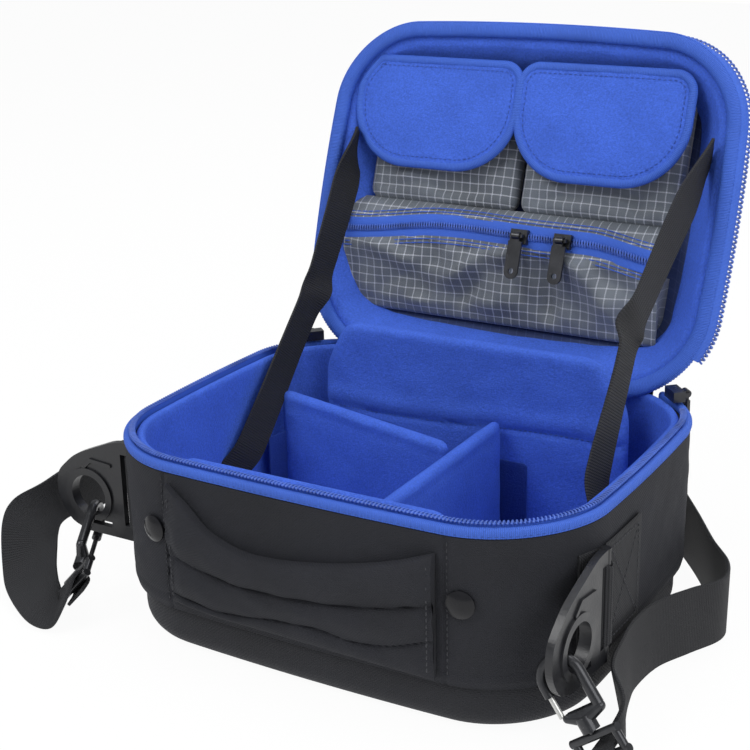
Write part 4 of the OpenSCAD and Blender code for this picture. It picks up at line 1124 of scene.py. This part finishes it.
class BAG_OT_stays(bpy.types.Operator):
    """Webbing stays that hold the lid, creased where the lid folds them"""
    bl_idname = "bag.stays"
    bl_label = "Lid stays"

    def execute(self, context):
        across, half = np.array([1.0, 0, 0]), 9.9
        lid = opened(np.array([[-107.5, -32.5, 114.6], [106.5, -37.5, 114.6]]))
        lines = (("stay_left", lid[0], (-109, 88, 136), (-112.5, 15, 58), (-119.2, 6, 47), 0.24, -0.5, 1),
                 ("stay_right", lid[1], (106, 30, 158), (108, -12, 92), (119.0, -23, 73), 0.16, -0.3, -1))
        for name, top, bend, knee, low, twist, lean, inward in lines:
            path = np.concatenate([np.linspace(top, bend, 60)[:-1], np.linspace(bend, knee, 60)[:-1],
                                   np.linspace(knee, low, 14)])
            path = soften_path(path, 10)
            run = normalised(np.gradient(path, axis=0))
            wide = normalised(points(0, -run[:, 2], run[:, 1])) * half
            t = np.linspace(0, 1, len(path))[:, None]
            crease = groove(t, 0.455, 0.03)
            path = path + across * (0.8 * np.sin(t * 9) + 1.2 * crease) * inward
            tilt = lean + (twist - lean) * smooth(0.0, 0.16, t) + 0.1 * np.sin(t * 7 + 1) + 0.4 * crease
            wide = wide * np.cos(tilt) + across * half * np.sin(tilt)
            stay = belt(name + "_webbing", path - wide, path + wide, 1.5, across=10)
            dress(stay, "black tape", None, [name])
            tuple(np.array(low) / 1000)
            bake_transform(stay)
        return {"FINISHED"}


class BAG_OT_gusset(bpy.types.Operator):
    """Cloth hinge between the base's back wall and the lid"""
    bl_idname = "bag.gusset"
    bl_label = "Hinge gusset"

    def execute(self, context):
        section = curve_through([[107.0, 88.7], [107.2, 92.3], [109.2, 95.2], [109.0, 97.9], [104.2, 98.9],
                                 [98.5, 98.0], [95.6, 97.6]], 5)
        x = np.linspace(-89.8, 89.8, 120)[:, None]
        wave = 0.25 * ripple(x, section[None, :, 1] * 3, 4.0)
        t = np.gradient(section, axis=0)
        n = normalised(points(-t[:, 1], t[:, 0]))
        front = section + n * (0.1 + wave[..., None])
        back = np.broadcast_to(section - n * 0.95, front.shape)
        loop = np.concatenate([front, back[:, ::-1]], 1)
        piece = skin("hinge_gusset_cloth", points(x, loop[..., 0], loop[..., 1]))
        dress(piece, "shell cloth", None, ["hinge_gusset"])
        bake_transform(piece)
        return {"FINISHED"}


# --- Lid, shaped closed and then opened ---

def dome_rings(gap, count=26):
    """Insets and heights of the dome's wall, moved in by a gap: the levels are joined by straight shares."""
    share = np.linspace(0, 1, count)
    inset = np.interp(share, *DOME.T)
    return points(LID_INSET + inset + gap, HINGE_Z + share * (LID_DEPTH - gap))


def dome_cup(name, gap_out, gap_in, rim_z, waves, way):
    """Closed cup: the dome's outer wall to its crown, and its inner wall back from the crown to the rim."""
    length = way["length"][:, None]

    def part(gap, seed, amount):
        rings = dome_rings(gap)
        rings = rings[rings[:, 1] >= rim_z]
        inset, z = rings[None, :, 0], rings[None, :, 1]
        waved = inset + amount * ripple(length, z * 2, seed) * smooth(rim_z, rim_z + 8, z)
        return around(way, waved, z).transpose(1, 0, 2)
    wall_out, wall_in = part(gap_out, 11.0, waves[0]), part(gap_in, 12.0, waves[1])
    crown = np.array([0.97, 0.9, 0.75, 0.5, 0.2, 0.03])[:, None]

    def cap(ring, lift):
        x, y = ring[:, 0] * crown, ring[:, 1] * crown
        return points(x, y, ring[:, 2] + lift * (1 - crown ** 2) + 0.25 * ripple(x, y, 13.0) * (1 - crown))
    top_out, top_in = cap(wall_out[-1], 0.5), cap(wall_in[-1], 0.3)
    grid = np.concatenate([top_out[::-1], wall_out[::-1], wall_in, top_in])
    return skin(name, opened(grid), uv=cup_places(grid))


def cup_places(grid):
    """Cloth places on the lid: x + 0.4 z and y + 0.9 z, so that the walls keep a weave too."""
    return grid[..., :2] + grid[..., 2:] * np.array([0.4, 0.9])


class BAG_OT_lid_shell(bpy.types.Operator):
    """Outer cloth and inner lining of the lid, and the fleece band along its inner wall"""
    bl_idname = "bag.lid_shell"
    bl_label = "Lid shell"

    def execute(self, context):
        way = track(420)
        cover = dome_cup("lid_cover_cloth", 0.0, 1.45, 113.0, (0.3, 0.0), way)
        dress(cover, "shell cloth", "lid", ["lid_cover"])
        lining = dome_cup("lid_lining_cloth", 7.7, 8.8, 113.9, (0.0, 0.2), way)
        dress(lining, "navy ripstop", "lid", ["lid_lining"])
        gap = 9.5
        wall = dome_rings(gap, 30)
        wall = wall[(wall[:, 1] > 115.8) & (wall[:, 1] < HINGE_Z + 0.86 * (LID_DEPTH - gap))]
        face = np.array([[14.0, 113.0], [15.6, 112.7], [17.6, 112.9], [19.4, 113.4], [20.6, 114.6], *wall])
        rear = np.array([[14.4, 113.5], [17.3, 113.5], [19.0, 113.9], [20.1, 114.9], *(wall - [0.55, 0])])
        band = np.concatenate([face, rear[::-1]])
        inset, z = band[None, :, 0], band[None, :, 1]
        loose = 0.3 * ripple(way["length"][:, None], z * 2, 23.0) * (np.arange(len(band)) < len(face))
        piece = skin("lid_wall_fleece", opened(around(way, inset + loose, z)), around=True)
        dress(piece, "blue fleece", "lid")
        return {"FINISHED"}


def tuck(way):
    """How far in the folded zip tape lies: it stands out on the right side and lies close on the others."""
    return 3.2 * (1 - smooth(0.0, 0.8, way["nx"]))[:, None]


class BAG_OT_lid_edge(bpy.types.Operator):
    """Ribbed binding, zip tape and zip coil along the lid's edge"""
    bl_idname = "bag.lid_edge"
    bl_label = "Lid edge"

    def execute(self, context):
        def ribs(inset, z, length):
            middle_inset, middle_z = 11.25, 110.7
            swell = 1 + 0.05 * np.sin(2 * np.pi * (length + 0.9 * inset) / 2.0)
            return middle_inset + (inset - middle_inset) * swell, middle_z + (z - middle_z) * swell
        binding = lap("lid_binding_cloth", track(2600), oval(7.05, 15.45, 107.8, 113.7, 18, 0.85), ribs,
                      lid=True)
        dress(binding, "blue binding", "lid", ["lid_binding"])
        way = track_past_rear(700, ZIP_END)
        edge = np.array([[7.6, 108.9], [7.0, 109.3], [6.3, 110.6], [5.4, 112.6], [5.1, 113.8], [5.9, 114.1],
                         [6.2, 112.8], [7.1, 110.9], [7.9, 109.9]])
        inset, z = edge[None, :, 0], edge[None, :, 1]
        tape = skin("lid_tape_cloth", opened(around(way, inset + tuck(way) * smooth(109, 114, z), z)))
        dress(tape, "blue tape", "lid", ["lid_zip_tape"])

        def at(along, out, up):
            part = track_at(ZIP_END + along)
            return opened(around(part, (4.7 - out)[:, None] + tuck(part), (115.6 + up)[:, None])[:, 0])
        teeth = coil("lid_coil", at, OUTLINE - 2 * ZIP_END, 2.6, 0.8, 1.9, 0.62, 7)
        dress(teeth, "blue teeth", "lid", ["lid_teeth"])
        return {"FINISHED"}


def keep_in(p, gap):
    """Moves points that lie outside the dome, at a gap from its outer face, straight in to it."""
    x, y, z = p[..., 0], p[..., 1], p[..., 2]
    bow_x, bow_y = bow(y, HALF_D, HALF_W), bow(x, HALF_W, HALF_D)
    x, y = x / bow_x, y / bow_y
    share = np.clip((z - HINGE_Z) / (LID_DEPTH - gap), 0, 1)
    most = np.maximum(CORNER - (LID_INSET + np.interp(share, *DOME.T) + gap), 1.0)
    past_x, past_y = np.maximum(np.abs(x) - FLAT_X, 0), np.maximum(np.abs(y) - FLAT_Y, 0)
    off = np.hypot(past_x, past_y)
    k = np.where(off > most, most / np.maximum(off, 1e-6), 1.0)
    x = np.sign(x) * (np.minimum(np.abs(x), FLAT_X) + past_x * k)
    y = np.sign(y) * (np.minimum(np.abs(y), FLAT_Y) + past_y * k)
    return points(x * bow_x, y * bow_y, z)


# Side, middle and width of each small pocket, and seed of its creases
POCKETS = (("left", -51.5, 93.6, 15.0), ("right", 44.5, 92.0, 18.0))
# Side, middle, width and height of each flap, and seed of its relief
FLAPS = (("left", -57.8, 105.6, 64.4, 20.0), ("right", 42.9, 103.8, 65.6, 22.0))
FLAP_Y, FLAP_Z = -46.4, 113.4  # middle of the flaps across the closed lid, and their height there


class BAG_OT_pockets(bpy.types.Operator):
    """Two small pockets in the lid, of coated ripstop with folds"""
    bl_idname = "bag.pockets"
    bl_label = "Small pockets"

    def execute(self, context):
        for name, x, wide, seed in POCKETS:
            def place(a, b, c):
                return opened(keep_in(points(x + a, -33.0 + b, 127.6 - c), 9.5))

            def front(a, b):
                slack = 1.8 * ripple(a, b * 1.3, seed) - 1.5 * groove(b, 28 + 2 * np.sin(a / 9), 3.0)
                slack = (slack + 1.6 * fold(a, b, (-30, 30), (-8, 2), 4.0)
                         - 1.4 * fold(a, b, (28, 34), (12, 4), 4.0))
                past_patch = np.maximum(smooth(19, 28, np.abs(a)), smooth(8, 16, np.abs(b - 7)))
                off_edge = smooth(0, 9, 46 - np.abs(a)) * smooth(0, 9, 36.5 - np.abs(b))
                return slack * past_patch * off_edge - 1.2
            pocket = board("pocket_%s_cloth" % name, rounded(wide, 73.6, (9, 9, 6, 6)), 16.8, place, front,
                           edge=6.5, rings=26)
            dress(pocket, "grey ripstop", "lid", ["pocket_" + name])
        return {"FINISHED"}


class BAG_OT_flaps(bpy.types.Operator):
    """Fleece flaps of the small pockets, with a bound edge and its stitch line"""
    bl_idname = "bag.flaps"
    bl_label = "Pocket flaps"

    def execute(self, context):
        for name, x, wide, tall, seed in FLAPS:
            shape = rounded(wide, tall, (13, 13, 37, 37), 220)
            inside = keep_in(points(x + shape[:, 0], FLAP_Y + shape[:, 1], FLAP_Z), 6.8)
            outline = inside[:, :2] - np.array([x, FLAP_Y])

            def crown(a, b):
                swell = np.clip(1 - (a / 47) ** 2, 0, 1) * np.clip(1 - (b / 30) ** 2, 0, 1)
                return 1.1 * swell + 0.25 * ripple(a, b, seed)

            def place(a, b, c):
                hang = 0.9 * smooth(-10, 28, b) * np.clip(np.abs(a) / 47, 0, 1) ** 2
                return opened(points(x + a, FLAP_Y + b, FLAP_Z - c + hang))
            flap = board("flap_%s_fleece" % name, outline * 0.985, 2.6, place, crown,
                         lambda a, b: 0.1 * ripple(a, b, 5.0), edge=1.2, rings=24)
            dress(flap, "blue fleece", None, ["flap_" + name])
            path = evenly(outline, 420)
            t = normalised(np.roll(path, -1, 0) - np.roll(path, 1, 0))
            out = points(t[:, 1], -t[:, 0])
            s = np.arange(12) / 12 * 2 * np.pi
            across, up = -2.6 + 2.55 * np.cos(s), 1.95 * np.sin(s)
            tight = 1 + 0.02 * np.sin(np.arange(420) * 2 * np.pi / 4.2)[:, None]
            ab = path[:, None] + out[:, None] * (across * tight)[..., None]
            rope = place(ab[..., 0], ab[..., 1], up * tight + 0.2)
            edge = skin("flap_%s_binding" % name, rope, around=True)
            dress(edge, "blue binding", None)
            a, b = (path - out * 6.4).T
            row = stitches("flap_%s_stitches" % name, place(a, b, 1.35 + crown(a, b)), off_ceiling(),
                           radius=0.28)
            dress(row, "blue thread", None)
            for piece in (flap, edge, row):
                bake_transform(piece)
        return {"FINISHED"}


ZIP_Y = 17.9  # the large pocket's zip across the closed lid, under its sliders
# Folds in the large pocket's front: depth, both ends and width
SLACK_FOLDS = (
    (-5.4, (4, 24), (-46, 52), 6.0), (4.6, (-8, 27), (-34, 64), 5.5), (-5.2, (34, 24), (66, 58), 6.0),
    (4.2, (22, 26), (26, 60), 5.5), (-4.4, (-98, 30), (-44, 44), 6.0), (2.6, (-84, 56), (-40, 34), 5.0),
    (-2.6, (-70, 62), (10, 56), 5.5), (2.4, (48, 30), (84, 44), 5.0))


def zip_y(x):
    """Line of the large pocket's zip: nearly straight under the sliders, and lower at both ends."""
    return ZIP_Y + 6.4 * smooth(44, 92, x) + 6.1 * smooth(-45, -108, x) - 1.4 * groove(x, -30, 30)


class BAG_OT_zip_pocket(bpy.types.Operator):
    """Large zipped pocket in the lid: upper panel, slack front, tape and coil"""
    bl_idname = "bag.zip_pocket"
    bl_label = "Large pocket"

    def execute(self, context):
        x = np.linspace(-106.8, 88.0, 280)[:, None]
        bend = zip_y(x) - ZIP_Y

        def panel(name, node, knots, relief, follow):
            """One panel down its knots, bent with the zip by a share that follow gives from its top down."""
            face = curve_through(knots, 8)
            v = np.linspace(0, 1, len(face))
            y = face[:, 0] + bend * follow(v)
            front = points(x, y, face[:, 1] + relief(x, y))
            rear = points(x, y, np.maximum(front[..., 2] + 1.2, 134.6))
            grid = np.concatenate([front, rear[:, ::-1]], 1)
            places = points(grid[..., 0], grid[..., 1] + grid[..., 2] * 0.3)
            piece = skin(name, opened(keep_in(grid, 9.6)), uv=places)
            dress(piece, "grey ripstop", "lid", [node])

        def upper(a, b):
            return 0.8 * ripple(a, b * 1.5, 31.0) * smooth(3, 6, b) * (1 - smooth(9, 12, b))
        panel("zip_pocket_upper_cloth", "zip_pocket_top",
              [[3.2, 124.4], [5.5, 120.8], [9, 117.4], [12.2, 115.6]], upper, lambda v: v)

        def slack(a, b):
            folds = sum(deep * fold(a, b, p, q, width) for deep, p, q, width in SLACK_FOLDS)
            off_edge = smooth(22, 31, b) * (1 - smooth(60, 68, b)) * smooth(0, 9, 97.4 - np.abs(a + 9.4))
            return (folds + 1.7 * ripple(a, b, 33.0)) * off_edge
        panel("zip_pocket_front_cloth", "zip_pocket_front",
              [[23.6, 115.6], [30, 116.0], [42, 119.2], [58, 124.6], [66, 127.6], [67.8, 130.5]], slack,
              lambda v: 1 - smooth(0, 0.55, v))

        along = np.linspace(-106.5, 87.7, 320)
        for name, y0, y1, nodes in (("pocket_tape_upper", -6.6, -0.9, ["pocket_zip_tape"]),
                                    ("pocket_tape_lower", 0.9, 6.6, [])):
            across, z = oval(y0, y1, 115.5, 117.0, 12, 0.5).T
            tape = points(along[:, None], zip_y(along)[:, None] + across, z)
            dress(skin(name, opened(keep_in(tape, 9.2))), "blue tape", "lid", nodes)

        def at(run, out, up):
            xs = -105.5 + run
            return opened(keep_in(points(xs, zip_y(xs) + out, 114.95 + up), 8.9))
        dress(coil("pocket_coil", at, 192.0, 1.6, 1.7, 0.5, 0.42), "blue teeth", "lid",
              ["pocket_zip_teeth"])
        for k, (off, z) in enumerate(((-7.9, 116.1), (7.8, 115.2), (10.0, 115.1), (-10.0, 117.1))):
            path = opened(keep_in(points(along, zip_y(along) + off, z), 9.6))
            row = stitches("zip_pocket_stitches_%d" % k, path, off_ceiling(), 4.0, 1.02, 0.36)
            dress(row, "blue binding", "lid")
        return {"FINISHED"}


class BAG_OT_fittings(bpy.types.Operator):
    """Finishes of the moulded and metal parts and of all other solids that stay"""
    bl_idname = "bag.fittings"
    bl_label = "Fittings"

    def execute(self, context):
        slots = {row["node"]: row["material_slot"] for row in frame["record"]["subparts"]}
        for node, solid in frame["nodes"].items():
            key = SLOT_FINISH.get(slots[node], slots[node].replace("_", " "))
            finish = finish_of("black gloss" if node == "front_rivets" else key)
            for place in solid.material_slots:
                place.material = finish
            if not solid.material_slots:
                solid.data.materials.append(finish)
        return {"FINISHED"}


def shader_node(tree, kind, **values):
    """A shader or helper node with values on its sockets."""
    node = tree.nodes.new("ShaderNode" + kind)
    for label, value in values.items():
        node.inputs[label].default_value = value
    return node


def mixed(tree, share, below, above, sink):
    """Two shaders mixed by a share into an output."""
    mix = tree.nodes.new("ShaderNodeMixShader")
    for k, socket in enumerate((share, below.outputs[0], above.outputs[0])):
        tree.links.new(socket, mix.inputs[k])
    tree.links.new(mix.outputs[0], sink.inputs["Surface"])


def set_floor():
    """Plain pale floor that fades to white where the camera sees it."""
    span = np.linspace(-3.0, 3.0, 13)
    n = len(span)
    k = (np.arange(n - 1)[:, None] * n + np.arange(n - 1)).ravel()
    mesh = bpy.data.meshes.new("floor")
    gx, gy = np.meshgrid(span, span, indexing="ij")
    mesh.from_pydata(points(gx.ravel(), gy.ravel(), -0.0004), [], points(k, k + n, k + n + 1, k + 1))
    floor = bpy.data.objects.new("floor", mesh)
    bpy.context.scene.collection.objects.link(floor)
    mat = bpy.data.materials.new("pale floor")
    mat.use_nodes = True
    tree = mat.node_tree
    shader = tree.nodes["Principled BSDF"]
    shader.inputs["Base Color"].default_value = (0.9, 0.9, 0.9, 1)
    shader.inputs["Roughness"].default_value = 0.9
    rays = shader_node(tree, "LightPath").outputs
    seen = math_node(tree, "MAXIMUM", rays["Is Camera Ray"], rays["Is Glossy Ray"])
    mixed(tree, math_node(tree, "MULTIPLY", seen, 0.95), shader, shader_node(tree, "Emission", Strength=1.0),
          tree.nodes["Material Output"])
    floor.data.materials.append(mat)


def set_surroundings():
    """White to the camera, and a soft cool light to everything else."""
    scene = bpy.context.scene
    scene.world = scene.world or bpy.data.worlds.new("surroundings")
    scene.world.use_nodes = True
    tree = scene.world.node_tree
    tree.nodes.clear()
    rays = shader_node(tree, "LightPath").outputs
    mixed(tree, math_node(tree, "MAXIMUM", rays["Is Camera Ray"], rays["Is Transmission Ray"]),
          shader_node(tree, "Background", Color=(0.95, 0.97, 1.0, 1), Strength=0.42),
          shader_node(tree, "Background", Color=(1, 1, 1, 1)), shader_node(tree, "OutputWorld"))


def set_lamps():
    """Soft lamps that face the bag: place, width and power of each."""
    for name, at, size, power in (("key", (-0.7, -1.0, 1.5), 0.9, 15), ("fill", (1.3, -0.5, 0.9), 1.2, 13),
                                  ("top", (0.1, 0.2, 1.7), 1.0, 9), ("back", (0.2, 1.5, 0.9), 1.0, 6)):
        lamp = bpy.data.lights.new(name, "AREA")
        lamp.size, lamp.energy = size, power
        thing = bpy.data.objects.new(name, lamp)
        thing.location = at
        away = normalised(np.array(at) - np.array([0, 0, 0.1]))
        side = normalised(np.cross((0, 0, 1), away))
        turn = np.stack([side, np.cross(away, side), away], 1)
        thing.rotation_mode = "QUATERNION"
        thing.rotation_quaternion = Matrix(turn.tolist()).to_quaternion()
        bpy.context.scene.collection.objects.link(thing)


class BAG_OT_stage(bpy.types.Operator):
    """Pale floor, soft lamps, white surroundings and the camera"""
    bl_idname = "bag.stage"
    bl_label = "Stage"

    def execute(self, context):
        set_floor()
        set_surroundings()
        set_lamps()
        scene = context.scene
        camera = bpy.data.objects.new("camera", bpy.data.cameras.new("camera"))
        camera.data.sensor_width = 36.0
        camera.data.lens = scene.bag_sizes.lens
        camera.data.clip_start = 0.02
        camera.matrix_world = Matrix(((0.86269, -0.15016, 0.48293, 0.35515),
                                      (0.5053, 0.29568, -0.8107, -0.62804),
                                      (-0.02106, 0.94341, 0.33096, 0.37993), (0, 0, 0, 1)))
        scene.collection.objects.link(camera)
        scene.camera = camera
        scene.view_settings.view_transform = "Standard"
        return {"FINISHED"}


OPERATORS = (BAG_OT_shell, BAG_OT_lining, BAG_OT_rim, BAG_OT_dividers, BAG_OT_handle, BAG_OT_ring_tabs,
             BAG_OT_strap, BAG_OT_stays, BAG_OT_gusset, BAG_OT_lid_shell, BAG_OT_lid_edge, BAG_OT_pockets,
             BAG_OT_flaps, BAG_OT_zip_pocket, BAG_OT_fittings, BAG_OT_stage)


class BAG_PT_panel(bpy.types.Panel):
    """Lists the bag's settings and its pieces"""
    bl_label = "Padded bag"
    bl_idname = "BAG_PT_panel"
    bl_space_type = "VIEW_3D"
    bl_region_type = "UI"
    bl_category = "Bag"

    def draw(self, context):
        for settings in (context.scene.bag_sizes, context.scene.bag_colours):
            for key in settings.__annotations__:
                self.layout.prop(settings, key)
        for operator in OPERATORS:
            self.layout.operator(operator.bl_idname)


CLASSES = (BagSizes, BagColours, *OPERATORS, BAG_PT_panel)


def register():
    """Adds the classes and the scene's settings."""
    for item in CLASSES:
        bpy.utils.register_class(item)
    bpy.types.Scene.bag_sizes = PointerProperty(type=BagSizes)
    bpy.types.Scene.bag_colours = PointerProperty(type=BagColours)


def unregister():
    """Takes them away again."""
    del bpy.types.Scene.bag_colours
    del bpy.types.Scene.bag_sizes
    for item in reversed(CLASSES):
        bpy.utils.unregister_class(item)


def main():
    """Builds every piece."""
    register()
    for operator in OPERATORS:
        family, name = operator.bl_idname.split(".")
        getattr(getattr(bpy.ops, family), name)()


if __name__ == "__main__":
    main()
